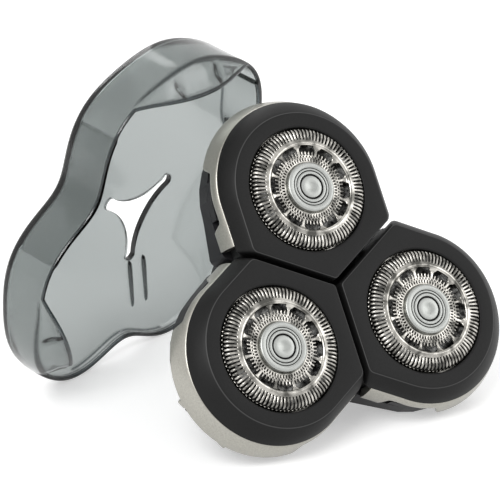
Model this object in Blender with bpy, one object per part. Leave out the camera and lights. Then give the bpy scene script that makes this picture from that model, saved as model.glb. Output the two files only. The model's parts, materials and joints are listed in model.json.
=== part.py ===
"""Rotary shaver head: three tilting lobes with slotted guards on a gear base, and its protective cap.

The head lies tipped back on two lobes and the rim of its coupling, and the cap stands behind it.
Sizes are in millimetres. In the head's own frame Z is the axis of the coupling, z = 0 is the face
of the cover plates, and lobe 1 points along +Y. Each lobe has a frame of its own at its cutter's
centre, with u pointing out from the head's axis, v across and z as in the head's frame.
"""
import math

import bmesh
import bpy
from mathutils import Euler, Matrix, Vector

MM = 0.001
LOBE_ANGLES = (90.0, 210.0, 330.0)

# Clearances
GAP = 0.3
RUNNING_GAP = 0.3

# Lobes: where the cutters stand and the outline of the cover plates
CUTTER_CIRCLE = 19.0
PLATE_HALF_WIDTH = 16.3
SEAM_GAP = 1.0
HUB_CORNER_R = 0.9
SIDE_CORNER_R = 1.4

# Cover: the black plate with its bevel and the skirt below it
PLATE_THICKNESS = 1.6
PLATE_EDGE = 0.35
PLATE_HOLE_SIDES = 32
BEVEL_WIDTH = 1.1
BEVEL_DEPTH = 3.0
TIP_REACH = 1.0
SKIRT_INSET = 0.3
SKIRT_WALL = 1.2
SKIRT_DEPTH = 7.9

# Rim: the metallic band round the outer side of each cover
RIM_FLARE = 0.8
RIM_TIP_FLARE = 0.8
RIM_STEP = 3.4
RIM_TOP = 3.6
RIM_BOTTOM = 8.0
NOTCH_START = 3.8
NOTCH_LENGTH = 12.6
NOTCH_RAMP = 1.6
NOTCH_HEIGHT = 2.5

# Guard: the slotted steel cap that the cutter runs against
GUARD_ROOM = 1.75
GUARD_FOOT_WIDTH = 0.9
GUARD_FOOT = 0.5
GUARD_TOP = 1.2
GUARD_SHOULDER = 0.9
GUARD_SHOULDER_Z = 1.05
GUARD_SIDE_Z = 0.2
GUARD_WALL = 0.5
SLOT_COUNT = 28
SLOT_LENGTH = 2.9
SLOT_SHARE = 0.45
WINDOW_COUNT = 14
WINDOW_BAND = 1.2
WINDOW_DEPTH = 1.6
WINDOW_SHARE = 0.68
GUARD_PRESS = 1.2
GUARD_GAP = 0.4

# Guard disc: the round plate in the middle of the guard
DISC_BAND = 1.1
DISC_TOP = 1.7
DISC_EDGE = 0.3
DISC_FLANGE = 0.5
DISC_SIDES = 18
DISC_GROOVE_INSET = 0.9
DISC_GROOVE_WIDTH = 0.4
DISC_GROOVE_DEPTH = 0.2

# Cutter: the ring of blades behind the guard
BLADE_COUNT = 15
BLADE_HEIGHT = 1.5
BLADE_SHARE = 0.3
CUTTER_DISC = 1.0
HUB_R = 3.4
HUB_DEPTH = 3.6
HUB_SIDES = 14

# Retainer: the ring that holds guard and cutter in the cover
RETAINER_LAP = 1.05
RETAINER_THICKNESS = 0.8
RETAINER_SIDES = 24

# Spindle, its spring and the socket that it stands in
SPINDLE_R = 1.5
KEY_SIDES = 6
SPINDLE_COLLAR_R = 2.6
SPINDLE_COLLAR = 0.6
SPINDLE_TIP_Z = -4.3
SPINDLE_TIP_EDGE = 0.4
COLLAR_Z = -12.0
SOCKET_CLEARANCE = 0.7
SPRING_WIRE = 0.5
SPRING_TURNS = 3.5
CUP_WALL = 0.8

# Chamber: the dark hair chamber under each cover
CHAMBER_STEP = 1.2
CHAMBER_TOP = 8.6
CHAMBER_BOTTOM = 12.5
CHAMBER_WALL = 2.9
CHAMBER_SKIRT = 1.5
CHAMBER_EDGE = 0.4
SIDE_DROP = 2.2
SIDE_DROP_LENGTH = 6.0
TAB_CLEARANCE = 0.8
TAB_THICKNESS = 0.8
TAB_HEIGHT = 1.9
TAB_ROOT = 1.0
CHAMBER_SEAM_INSET = 0.4
FLOOR_THICKNESS = 1.1
FLOOR_RECESS = 1.5
COLLAR_HOLE_R = 3.2
COLLAR_WALL = 1.2
COLLAR_HEIGHT = 1.5

# Cover hinge at the tip of each lobe
HINGE_REACH = 0.8
HINGE_DROP = 1.7
KNUCKLE_R = 1.3
KNUCKLE_HALF = 4.2
EAR_WIDTH = 1.7
HINGE_PIN_R = 0.5
HINGE_FLAT = 1.7
EAR_INNER = 0.1
EAR_OUTER = 0.9
HINGE_ROOT = 0.4
KNUCKLE_NECK = 0.7

# Tilt hinge between each chamber and the base
TILT_U = -9.0
TILT_DROP = 0.4
BARREL_R = 1.4
BARREL_HALF = 5.2
TILT_EAR = 1.8
TILT_PIN_R = 0.8
TILT_ROOT = 0.3

# Gears and their housing
DRIVE_TEETH = 20
LOBE_TEETH = 18
GEAR_THICKNESS = 2.4
ADDENDUM_SHARE = 0.8
DEDENDUM_SHARE = 1.2
TOOTH_SHARE = 1.15
FLANK_SHARE = 0.32
HOUSING_DROP = 0.8
HOUSING_EDGE = 0.4
HOUSING_COVER = 1.0
HOUSING_FLOOR = 1.1
HOUSING_WALL = 1.2
GEAR_CLEARANCE = 0.7
BASE_SIDES = 48
BOSS_OUT = 2.3
BOSS_WALL = 3.0
BOSS_R = 2.1

# Coupling: the spigot that plugs into the handle, and the drive shaft in it
SPIGOT_R = 13.0
SPIGOT_WALL = 1.7
SPIGOT_END = 32.2
FLANGE_WIDTH = 4.2
FLANGE_THICKNESS = 1.5
SPIGOT_SLOT_WIDTH = 4.0
SPIGOT_SLOT_DEPTH = 4.5
SHAFT_R = 4.6
SHAFT_END = 28.0
SHAFT_SOCKET_R = 2.9
SHAFT_SOCKET_DEPTH = 6.0
SHAFT_CLEARANCE = 1.0
AXLE_R = 1.8
SCREW_R = 1.0
SCREW_HEAD_R = 1.8
SCREW_HEAD = 1.2

# Protective cap
CAP_ROOM = 1.9
CAP_WAIST = 9.6
CAP_SIXTH = -1.55
CAP_NINTH = 0.6
CAP_WALL = 1.2
CAP_SIDES = 48
CAP_BEND_HEIGHT = 10.1
CAP_LIP = 0.7
CAP_TAB_RISE = 4.7
CAP_TAB_ANGLE = 27.0
CAP_TAB_LEAN = 51.0
CAP_LOW_ANGLE = 270.0
CAP_LOW_SPAN = 52.5
CAP_LOW_RAMP = 7.5
CAP_LOW_HEIGHT = 3.0
CAP_SLOPE_SPAN = 80.0
CAP_SLOPE = 0.105
CAP_EDGE = 1.2
STAR_ARC_CENTRE = 16.8
STAR_ARC_R = 13.35
STAR_TIP_R = 10.0
STAR_TIP_SHARE = 0.985
RIB_LENGTH = 12.5
RIB_SPACING = 4.0
RIB_OFFSET = -1.0
RIB_TURN = 14.5
RIB_WIDTH = 0.9
RIB_HEIGHT = 0.8
RIB_ROOT = 0.3
RIB_TOP = -10.4
RIB_STAGGER = 1.1

# Where the cap stands, measured from the centre of the head's face
CAP_SHIFT_X = -19.9
CAP_SHIFT_Y = 44.9
CAP_YAW = 18.6
CAP_LEAN = 10.3

# Sizes that follow from the values above
PLATE_OUTER = PLATE_HALF_WIDTH + BEVEL_WIDTH
CHAMBER_HALF_WIDTH = PLATE_HALF_WIDTH + CHAMBER_STEP
HINGE_U = PLATE_HALF_WIDTH + HINGE_REACH
HINGE_FLAT_U = HINGE_U - HINGE_FLAT
SKIRT_HALF_WIDTH = PLATE_HALF_WIDTH - SKIRT_INSET
SEAM_REACH = CUTTER_CIRCLE * math.sin(math.radians(60.0)) - SEAM_GAP / 2
SKIRT_ROOM = min(SKIRT_HALF_WIDTH, SEAM_REACH) - SKIRT_WALL
GUARD_FOOT_R = SKIRT_ROOM - GUARD_ROOM
GUARD_R = GUARD_FOOT_R - GUARD_FOOT_WIDTH
GUARD_SHOULDER_R = GUARD_R - GUARD_SHOULDER
SLOT_INNER_R = GUARD_R - SLOT_LENGTH
WINDOW_OUTER_R = SLOT_INNER_R - WINDOW_BAND
WINDOW_INNER_R = WINDOW_OUTER_R - WINDOW_DEPTH
PLATE_HOLE_R = GUARD_R + GUARD_GAP
HINGE_Z = -RIM_BOTTOM - HINGE_DROP
FLOOR_TOP = -(CHAMBER_BOTTOM - FLOOR_RECESS - FLOOR_THICKNESS)
FLOOR_BOTTOM = FLOOR_TOP - FLOOR_THICKNESS
TILT_Z = FLOOR_BOTTOM - TILT_DROP - BARREL_R
HOUSING_TOP = HOUSING_DROP + BARREL_R - TILT_Z
SIDE_DROP_FULL = min(SIDE_DROP, HOUSING_TOP - CHAMBER_BOTTOM - GAP)
HOUSING_INSIDE_TOP = -HOUSING_TOP - HOUSING_COVER
GEAR_TOP = HOUSING_INSIDE_TOP - 2 * GAP
GEAR_BOTTOM = GEAR_TOP - GEAR_THICKNESS
HOUSING_INSIDE_FLOOR = GEAR_BOTTOM - GAP
HOUSING_BOTTOM = HOUSING_INSIDE_FLOOR - HOUSING_FLOOR
MODULE = 2 * CUTTER_CIRCLE / (DRIVE_TEETH + LOBE_TEETH)
DRIVE_R = MODULE * DRIVE_TEETH / 2
LOBE_GEAR_R = MODULE * LOBE_TEETH / 2
FOOT_R = SPINDLE_R - RUNNING_GAP
CUP_BORE_R = SPINDLE_R + SPRING_WIRE + 3 * RUNNING_GAP
CUP_R = CUP_BORE_R + CUP_WALL
CUP_TOP = -HOUSING_TOP + 2 * GAP
CUP_FLOOR = GEAR_TOP - GEAR_THICKNESS / 3
HOUSING_LOBE_R = LOBE_GEAR_R + MODULE * ADDENDUM_SHARE + GEAR_CLEARANCE + HOUSING_WALL
BOSS_CIRCLE = SPIGOT_R + BOSS_OUT
VALLEY_R = BOSS_CIRCLE + BOSS_WALL
FLANGE_R = SPIGOT_R + FLANGE_WIDTH
FLANGE_TOP = HOUSING_BOTTOM - GAP
FLANGE_BOTTOM = FLANGE_TOP - FLANGE_THICKNESS
CUTTER_R = GUARD_SHOULDER_R - GUARD_WALL / 2 - RUNNING_GAP
BLADE_TOP = GUARD_TOP - GUARD_WALL - RUNNING_GAP
DISC_R = WINDOW_INNER_R - DISC_BAND - GAP
DISC_SEAT_R = DISC_R + GAP
RETAINER_R = SKIRT_ROOM - GAP
RETAINER_INNER_R = CUTTER_R - RETAINER_LAP
FOOT_TOP = -PLATE_THICKNESS - GAP
RETAINER_TOP = FOOT_TOP - GUARD_FOOT - GUARD_PRESS - RUNNING_GAP
HEAD_TIP = math.degrees(math.atan2(
    SPIGOT_END - CHAMBER_BOTTOM,
    CUTTER_CIRCLE * math.sin(math.radians(30.0)) + CHAMBER_HALF_WIDTH - SPIGOT_R,
))
CAP_TIP_R = CUTTER_CIRCLE + PLATE_OUTER + CAP_ROOM
CAP_VALLEY_R = CAP_TIP_R - CAP_WAIST


def make_material(name, color, roughness, metallic=0.0, alpha=1.0):
    """A principled material with the part's colour, roughness and metallic value."""
    material = bpy.data.materials.new(name)
    material.use_nodes = True
    shader = material.node_tree.nodes["Principled BSDF"]
    shader.inputs["Base Color"].default_value = (*color, 1.0)
    shader.inputs["Roughness"].default_value = roughness
    shader.inputs["Metallic"].default_value = metallic
    shader.inputs["Alpha"].default_value = alpha
    material.diffuse_color = (*color, alpha)
    return material


def add_empty(name, parent=None, location=(0, 0, 0), rotation=(0, 0, 0)):
    """An empty that carries pieces; location in millimetres, rotation in degrees."""
    empty = bpy.data.objects.new(name, None)
    empty.empty_display_size = 0.005
    bpy.context.collection.objects.link(empty)
    empty.parent = parent
    empty.location = Vector(location) * MM
    empty.rotation_euler = Euler([math.radians(a) for a in rotation])
    return empty


def add_piece(name, shape, material, parent, origin=(0, 0, 0), crease=35.0):
    """One closed solid from points and faces in its parent's frame, with its origin where asked."""
    points, faces = shape
    mesh = bpy.data.meshes.new(name)
    mesh.from_pydata([(Vector(p) - Vector(origin)) * MM for p in points], [], faces)
    work = bmesh.new()
    work.from_mesh(mesh)
    bmesh.ops.recalc_face_normals(work, faces=work.faces)
    work.to_mesh(mesh)
    work.free()
    mesh.shade_smooth()
    mesh.set_sharp_from_angle(angle=math.radians(crease))
    if material:
        mesh.materials.append(material)
    piece = bpy.data.objects.new(name, mesh)
    bpy.context.collection.objects.link(piece)
    piece.parent = parent
    piece.location = Vector(origin) * MM
    return piece


def apply_tool(piece, operation, name, shape, parent):
    """Join a hidden shape to the piece (UNION) or cut it away (DIFFERENCE)."""
    tool = add_piece(name, shape, None, parent)
    tool.hide_render = True
    tool.display_type = "WIRE"
    modifier = piece.modifiers.new(name, "BOOLEAN")
    modifier.operation = operation
    modifier.solver = "EXACT"
    modifier.object = tool


def joined(shapes):
    """Several shapes as one list of points and faces."""
    points, faces = [], []
    for shape_points, shape_faces in shapes:
        start = len(points)
        points += list(shape_points)
        faces += [tuple(start + i for i in face) for face in shape_faces]
    return points, faces


def ring_faces(count, first, second):
    """Quads between two rings of the same number of points."""
    quads = []
    for a in range(count):
        b = (a + 1) % count
        quads.append((first + a, first + b, second + b, second + a))
    return quads


def stitch(ring_a, start_a, ring_b, start_b):
    """Triangles between two rings about one axis whose numbers of points differ."""
    orders, angles = [], []
    for ring in (ring_a, ring_b):
        around = [math.atan2(y, x) % (2 * math.pi) for x, y, _ in ring]
        order = sorted(range(len(ring)), key=lambda i: around[i])
        orders.append(order + order[:1])
        angles.append([around[i] for i in order] + [around[order[0]] + 2 * math.pi])
    faces = []
    a = b = 0
    while a < len(ring_a) or b < len(ring_b):
        here_a, here_b = start_a + orders[0][a], start_b + orders[1][b]
        if b == len(ring_b) or (a < len(ring_a) and angles[0][a + 1] <= angles[1][b + 1]):
            faces.append((here_a, start_a + orders[0][a + 1], here_b))
            a += 1
        else:
            faces.append((here_b, here_a, start_b + orders[1][b + 1]))
            b += 1
    return faces


def join_rings(ring_a, start_a, ring_b, start_b):
    """Faces between two rings: quads where their points match, triangles where they don't."""
    if len(ring_a) == len(ring_b):
        return ring_faces(len(ring_a), start_a, start_b)
    return stitch(ring_a, start_a, ring_b, start_b)


def ring_starts(rings):
    """The index of each ring's first point."""
    starts = [0]
    for ring in rings[:-1]:
        starts.append(starts[-1] + len(ring))
    return starts


def closed_loft(rings):
    """A ring-shaped solid: every ring joined to the next, and the last to the first."""
    starts = ring_starts(rings)
    faces = []
    for i in range(len(rings)):
        j = (i + 1) % len(rings)
        faces += join_rings(rings[i], starts[i], rings[j], starts[j])
    return [p for ring in rings for p in ring], faces


def capped_loft(rings):
    """A solid from a stack of rings, with a flat face over the first and the last."""
    starts = ring_starts(rings)
    faces = []
    for i in range(len(rings) - 1):
        faces += join_rings(rings[i], starts[i], rings[i + 1], starts[i + 1])
    faces.append(tuple(range(len(rings[0]))))
    faces.append(tuple(range(starts[-1], starts[-1] + len(rings[-1]))))
    return [p for ring in rings for p in ring], faces


def turned_to_lobe(shape, angle):
    """A shape drawn in a lobe's frame, moved to the head's frame."""
    turn = math.radians(angle)
    cos, sin = math.cos(turn), math.sin(turn)
    points = []
    for u, v, z in shape[0]:
        reach = u + CUTTER_CIRCLE
        points.append((reach * cos - v * sin, reach * sin + v * cos, z))
    return points, shape[1]


def round_all_lobes(shape):
    """The same shape at all three lobes, in the head's frame."""
    return joined([turned_to_lobe(shape, angle) for angle in LOBE_ANGLES])


def circle(radius, z, count, centre=(0.0, 0.0), start=0.0):
    """A ring of points round an upright axis."""
    ring = []
    for i in range(count):
        angle = math.radians(start) + 2 * math.pi * i / count
        ring.append((centre[0] + radius * math.cos(angle), centre[1] + radius * math.sin(angle), z))
    return ring


def box(low, high):
    """An upright box between two corners."""
    rings = []
    for z in (low[2], high[2]):
        rings.append([(low[0], low[1], z), (high[0], low[1], z), (high[0], high[1], z), (low[0], high[1], z)])
    return capped_loft(rings)


def slab(outline, v_low, v_high):
    """An outline in the u-z plane, carried across from v_low to v_high."""
    return capped_loft([[(u, v, z) for u, z in outline] for v in (v_low, v_high)])


def cross_rod(radius, half_length, u, z, count=8):
    """A round rod across the lobe."""
    outline = []
    for i in range(count):
        angle = 2 * math.pi * (i + 0.5) / count
        outline.append((u + radius * math.cos(angle), z + radius * math.sin(angle)))
    return slab(outline, -half_length, half_length)


def end_point(half_width, turn, reach):
    """A point of a lobe's round end, which is wider towards the tip by its reach."""
    radius = half_width + reach * math.cos(turn)
    return radius * math.cos(turn), radius * math.sin(turn)


def lobe_outline(half_width, seam_inset, z, reach=0.0):
    """One lobe seen from its face: a round end about the cutter, two sides and two seam sides."""
    seam = math.radians(60.0)
    hub = -CUTTER_CIRCLE + seam_inset / math.sin(seam)
    hub_centre = hub + HUB_CORNER_R / math.sin(seam)
    half = []
    for angle in (180.0, 150.0):
        turn = math.radians(angle)
        half.append((hub_centre + HUB_CORNER_R * math.cos(turn), HUB_CORNER_R * math.sin(turn)))
    corner_v = half_width - SIDE_CORNER_R
    corner_u = hub + SIDE_CORNER_R / math.sin(seam) + corner_v / math.tan(seam)
    corner = []
    for angle in (150.0, 120.0, 90.0):
        turn = math.radians(angle)
        corner.append((corner_u + SIDE_CORNER_R * math.cos(turn), corner_v + SIDE_CORNER_R * math.sin(turn)))
    half.append(tuple((a + b) / 2 for a, b in zip(half[1], corner[0])))
    half += corner
    for i in range(9):
        turn = math.radians(90.0 * (1 - i / 8))
        half.append(end_point(half_width, turn, reach))
    mirrored = [(u, -v) for u, v in half[-2:0:-1]]
    return [(u, v, z) for u, v in half + mirrored]


def cover_shape():
    """The black cover: plate with a round hole, bevelled outer edge and a skirt."""
    seam = SEAM_GAP / 2
    bevel_share = PLATE_EDGE / BEVEL_DEPTH
    rings = [
        circle(PLATE_HOLE_R, -PLATE_EDGE, PLATE_HOLE_SIDES),
        circle(PLATE_HOLE_R + PLATE_EDGE, 0.0, PLATE_HOLE_SIDES),
        lobe_outline(PLATE_HALF_WIDTH, seam + PLATE_EDGE, 0.0),
        lobe_outline(PLATE_HALF_WIDTH + BEVEL_WIDTH * bevel_share, seam, -PLATE_EDGE, TIP_REACH * bevel_share),
        lobe_outline(PLATE_OUTER, seam, -BEVEL_DEPTH, TIP_REACH),
        lobe_outline(PLATE_OUTER, seam, -RIM_TOP + GAP, TIP_REACH),
        lobe_outline(SKIRT_HALF_WIDTH, seam, -RIM_TOP + GAP, TIP_REACH),
        lobe_outline(SKIRT_HALF_WIDTH, seam, -SKIRT_DEPTH, TIP_REACH),
        lobe_outline(SKIRT_HALF_WIDTH - SKIRT_WALL, seam + SKIRT_WALL, -SKIRT_DEPTH),
        lobe_outline(SKIRT_HALF_WIDTH - SKIRT_WALL, seam + SKIRT_WALL, -PLATE_THICKNESS),
        circle(PLATE_HOLE_R, -PLATE_THICKNESS, PLATE_HOLE_SIDES),
    ]
    return closed_loft(rings)


def rim_straight_start():
    """Where the straight side begins beside the seam, measured along u from the cutter."""
    seam = math.radians(60.0)
    return -CUTTER_CIRCLE + (SEAM_GAP / 2) / math.sin(seam) + PLATE_OUTER / math.tan(seam) + SIDE_CORNER_R


def rim_stations():
    """Places along the rim from one side corner to the other, with how far its lower edge is raised."""
    straight = -rim_straight_start()
    notch_end = NOTCH_START + NOTCH_LENGTH
    keys = [
        (0.0, 0.0),
        (NOTCH_START, 0.0),
        (NOTCH_START + NOTCH_RAMP, NOTCH_HEIGHT),
        (notch_end - NOTCH_RAMP, NOTCH_HEIGHT),
        (notch_end, 0.0),
        (straight + PLATE_OUTER * math.pi / 2, 0.0),
    ]
    half = [(-straight, 90.0, 0.0)]
    for (start, low), (end, high) in zip(keys, keys[1:]):
        steps = max(1, math.ceil((end - start) / RIM_STEP))
        for i in range(1, steps + 1):
            along = start + (end - start) * i / steps
            lift = low + (high - low) * i / steps
            if along <= straight:
                half.append((along - straight, 90.0, lift))
            else:
                half.append((0.0, 90.0 - math.degrees((along - straight) / PLATE_OUTER), lift))
    mirrored = [(u, -angle, lift) for u, angle, lift in half[-2::-1]]
    return half + mirrored


def rim_point(station, half_width, z, reach):
    """A point of the rim at a station: on the straight side, or on the round end at its angle."""
    u, angle, _ = station
    if u < 0.0:
        return (u, math.copysign(half_width, angle), z)
    return (*end_point(half_width, math.radians(angle), reach), z)


def rim_shape():
    """The metallic band: flared outwards, open at the seams, its lower edge notched on each side."""
    inner = SKIRT_HALF_WIDTH + GAP
    sections = []
    for station in rim_stations():
        bottom = -RIM_BOTTOM + station[2]
        share = (bottom + RIM_TOP) / (RIM_TOP - RIM_BOTTOM)
        sections.append([
            rim_point(station, inner, -RIM_TOP, TIP_REACH),
            rim_point(station, PLATE_OUTER, -RIM_TOP, TIP_REACH),
            rim_point(station, PLATE_OUTER + RIM_FLARE * share, bottom, TIP_REACH + RIM_TIP_FLARE * share),
            rim_point(station, inner, bottom, TIP_REACH),
        ])
    return capped_loft(sections)


def hinge_ear_outline():
    """The ear under the rim that holds the cover's hinge pin."""
    root = -RIM_BOTTOM + 2 * HINGE_ROOT
    outline = [(HINGE_U - EAR_INNER, root), (HINGE_U + EAR_OUTER, root)]
    for angle in (30, 0, -30, -60, -90, -120, -150, -180):
        turn = math.radians(angle)
        outline.append((HINGE_U + KNUCKLE_R * math.cos(turn), HINGE_Z + KNUCKLE_R * math.sin(turn)))
    return outline


def split_angles(count, share):
    """Angles of cells that are open and solid in turn, the open ones wide by their share."""
    step = 360.0 / count
    angles = []
    for i in range(count):
        angles += [i * step, (i + share) * step]
    return angles


def ring_at(angles, radius, z):
    """A ring with points at given angles."""
    return [(radius * math.cos(math.radians(a)), radius * math.sin(math.radians(a)), z) for a in angles]


def guard_shape():
    """The slotted guard as one shell: toothed windows inside, a smooth ring and slots over the edge."""
    slots = split_angles(SLOT_COUNT, SLOT_SHARE)
    windows = split_angles(WINDOW_COUNT, WINDOW_SHARE)
    foot = [i * 360.0 / SLOT_COUNT for i in range(SLOT_COUNT)]
    inside = GUARD_TOP - GUARD_WALL
    layers = (
        (windows, DISC_SEAT_R, GUARD_TOP, "solid"),
        (windows, WINDOW_INNER_R, GUARD_TOP, "open"),
        (windows, WINDOW_OUTER_R, GUARD_TOP, "solid"),
        (slots, SLOT_INNER_R, GUARD_TOP, "open"),
        (slots, GUARD_SHOULDER_R, GUARD_SHOULDER_Z, "open"),
        (slots, GUARD_R, GUARD_SIDE_Z, "solid"),
        (foot, GUARD_R, FOOT_TOP, "solid"),
        (foot, GUARD_FOOT_R, FOOT_TOP, "solid"),
        (foot, GUARD_FOOT_R, FOOT_TOP - GUARD_FOOT, "solid"),
        (foot, GUARD_R - GUARD_WALL, FOOT_TOP - GUARD_FOOT, "solid"),
        (slots, GUARD_R - GUARD_WALL, GUARD_SIDE_Z, "open"),
        (slots, GUARD_SHOULDER_R - GUARD_WALL / 2, GUARD_SHOULDER_Z - GUARD_WALL, "open"),
        (slots, SLOT_INNER_R, inside, "solid"),
        (windows, WINDOW_OUTER_R, inside, "open"),
        (windows, WINDOW_INNER_R, inside, "solid"),
        (windows, DISC_SEAT_R, inside, "solid"),
    )
    rings = [ring_at(angles, radius, z) for angles, radius, z, _ in layers]
    starts = ring_starts(rings)
    faces = []
    for i, layer in enumerate(layers):
        j = (i + 1) % len(layers)
        joint = join_rings(rings[i], starts[i], rings[j], starts[j])
        faces += joint[1::2] if layer[3] == "open" else joint
    for outer, inner in (((1, 2), (14, 13)), ((3, 4, 5), (12, 11, 10))):
        faces += opening_walls([starts[k] for k in outer], [starts[k] for k in inner], len(rings[outer[0]]))
    return [p for ring in rings for p in ring], faces


def opening_walls(outer, inner, count):
    """The side and end walls of every open cell between an outer and an inner surface."""
    faces = []
    for a in range(0, count, 2):
        b = a + 1
        for k in range(len(outer) - 1):
            faces.append((outer[k] + a, outer[k + 1] + a, inner[k + 1] + a, inner[k] + a))
            faces.append((outer[k] + b, inner[k] + b, inner[k + 1] + b, outer[k + 1] + b))
        for k in (0, -1):
            faces.append((outer[k] + a, inner[k] + a, inner[k] + b, outer[k] + b))
    return faces


def disc_shape():
    """The disc in the middle of the guard: a flange below the guard, and a groove turned in its top."""
    groove_r = DISC_R - DISC_GROOVE_INSET
    flange_top = GUARD_TOP - GUARD_WALL - GAP
    profile = [
        (DISC_R + DISC_FLANGE, flange_top - GAP),
        (DISC_R + DISC_FLANGE, flange_top),
        (DISC_R, flange_top),
        (DISC_R, DISC_TOP - DISC_EDGE),
        (DISC_R - DISC_EDGE, DISC_TOP),
        (groove_r, DISC_TOP),
        (groove_r - DISC_GROOVE_WIDTH / 2, DISC_TOP - DISC_GROOVE_DEPTH),
        (groove_r - DISC_GROOVE_WIDTH, DISC_TOP),
    ]
    return capped_loft([circle(radius, z, DISC_SIDES) for radius, z in profile])


def cutter_shape():
    """The cutter: a disc with upright blades round its edge and a hub with a pocket for the spindle."""
    angles = split_angles(BLADE_COUNT, BLADE_SHARE)
    count = len(angles)
    disc_top = BLADE_TOP - BLADE_HEIGHT
    disc_bottom = disc_top - CUTTER_DISC
    hub_bottom = disc_bottom - HUB_DEPTH
    pocket_r = SPINDLE_R + SOCKET_CLEARANCE
    rings = [
        circle(pocket_r, disc_bottom + GAP, KEY_SIDES),
        circle(pocket_r, hub_bottom, KEY_SIDES),
        circle(HUB_R, hub_bottom, HUB_SIDES),
        circle(HUB_R, disc_bottom, HUB_SIDES),
        ring_at(angles, CUTTER_R, disc_bottom),
        ring_at(angles, CUTTER_R, disc_top),
        ring_at(angles, SLOT_INNER_R, disc_top),
        ring_at(angles, CUTTER_R, BLADE_TOP),
        ring_at(angles, SLOT_INNER_R, BLADE_TOP),
    ]
    starts = ring_starts(rings)
    faces = [tuple(range(KEY_SIDES))]
    for k in range(5):
        faces += join_rings(rings[k], starts[k], rings[k + 1], starts[k + 1])
    low_out, low_in, high_out, high_in = starts[5:]
    faces.append(tuple(range(low_in, low_in + count)))
    for a in range(count):
        b = (a + 1) % count
        if a % 2:
            faces.append((low_out + a, low_out + b, low_in + b, low_in + a))
            continue
        faces.append((high_out + a, high_out + b, high_in + b, high_in + a))
        faces.append((low_out + a, low_out + b, high_out + b, high_out + a))
        faces.append((low_in + a, low_in + b, high_in + b, high_in + a))
        faces.append((low_out + a, high_out + a, high_in + a, low_in + a))
        faces.append((low_out + b, high_out + b, high_in + b, low_in + b))
    return [p for ring in rings for p in ring], faces


def retainer_shape():
    """The ring under guard and cutter, snapped into the cover's skirt."""
    bottom = RETAINER_TOP - RETAINER_THICKNESS
    profile = [
        (RETAINER_R, RETAINER_TOP),
        (RETAINER_R, bottom),
        (RETAINER_INNER_R, bottom),
        (RETAINER_INNER_R, RETAINER_TOP),
    ]
    return closed_loft([circle(radius, z, RETAINER_SIDES) for radius, z in profile])


def spindle_shape():
    """The spindle: a six-sided tip for the cutter's hub, a collar for the spring and a keyed foot."""
    foot_end = CUP_FLOOR - GAP
    collar_end = COLLAR_Z - SPINDLE_COLLAR
    rings = [
        circle(SPINDLE_R - SPINDLE_TIP_EDGE, SPINDLE_TIP_Z, KEY_SIDES),
        circle(SPINDLE_R, SPINDLE_TIP_Z - SPINDLE_TIP_EDGE, KEY_SIDES),
        circle(SPINDLE_R, COLLAR_Z, KEY_SIDES),
        circle(SPINDLE_COLLAR_R, COLLAR_Z, 12),
        circle(SPINDLE_COLLAR_R, collar_end, 12),
        circle(FOOT_R, collar_end, KEY_SIDES),
        circle(FOOT_R, foot_end, KEY_SIDES),
    ]
    return capped_loft(rings)


def spring_shape():
    """The coil between the cup in the gear and the spindle's collar."""
    wire = SPRING_WIRE / 2
    coil_r = CUP_BORE_R - RUNNING_GAP - wire
    low = CUP_FLOOR + GAP + wire
    high = COLLAR_Z - SPINDLE_COLLAR - GAP - wire
    steps = int(SPRING_TURNS * 8)
    rings = []
    for i in range(steps + 1):
        turn = 2 * math.pi * SPRING_TURNS * i / steps
        centre = Vector((coil_r * math.cos(turn), coil_r * math.sin(turn), low + (high - low) * i / steps))
        outward = Vector((math.cos(turn), math.sin(turn), 0.0))
        ring = []
        for k in range(4):
            side = 2 * math.pi * k / 4
            ring.append(tuple(centre + outward * wire * math.cos(side) + Vector((0, 0, wire * math.sin(side)))))
        rings.append(ring)
    return capped_loft(rings)


def gear_ring(teeth, z, tooth_angle):
    """The outline of a spur gear with straight-sided teeth, one of them centred on tooth_angle."""
    pitch_r = MODULE * teeth / 2
    half = MODULE * TOOTH_SHARE / 2 / pitch_r
    slope = MODULE * FLANK_SHARE / pitch_r
    root_r = pitch_r - MODULE * DEDENDUM_SHARE
    tip_r = pitch_r + MODULE * ADDENDUM_SHARE
    ring = []
    for i in range(teeth):
        middle = math.radians(tooth_angle) + 2 * math.pi * i / teeth
        for radius, offset in (
            (root_r, -half - slope),
            (tip_r, -half + slope),
            (tip_r, half - slope),
            (root_r, half + slope),
        ):
            ring.append((radius * math.cos(middle + offset), radius * math.sin(middle + offset), z))
    return ring


def meshing_angle(lobe_angle):
    """Where a lobe gear has a tooth, in its lobe's frame, so that it meshes with the drive gear."""
    drive_step = 360.0 / DRIVE_TEETH
    ahead = (-lobe_angle) % drive_step
    shift = math.radians(ahead) * DRIVE_R + math.pi * MODULE / 2
    return 180.0 - math.degrees(shift / LOBE_GEAR_R)


def lobe_gear_shape(lobe_angle):
    """A lobe gear: teeth, and a cup through the housing cover that takes spindle and spring."""
    angle = meshing_angle(lobe_angle)
    sides = 16
    rings = [
        gear_ring(LOBE_TEETH, GEAR_TOP, angle),
        circle(CUP_R, GEAR_TOP, sides),
        circle(CUP_R, CUP_TOP, sides),
        circle(CUP_BORE_R, CUP_TOP, sides),
        circle(CUP_BORE_R, CUP_FLOOR, sides),
        circle(FOOT_R + RUNNING_GAP, CUP_FLOOR, KEY_SIDES),
        circle(FOOT_R + RUNNING_GAP, GEAR_BOTTOM, KEY_SIDES),
        gear_ring(LOBE_TEETH, GEAR_BOTTOM, angle),
    ]
    return closed_loft(rings)


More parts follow.
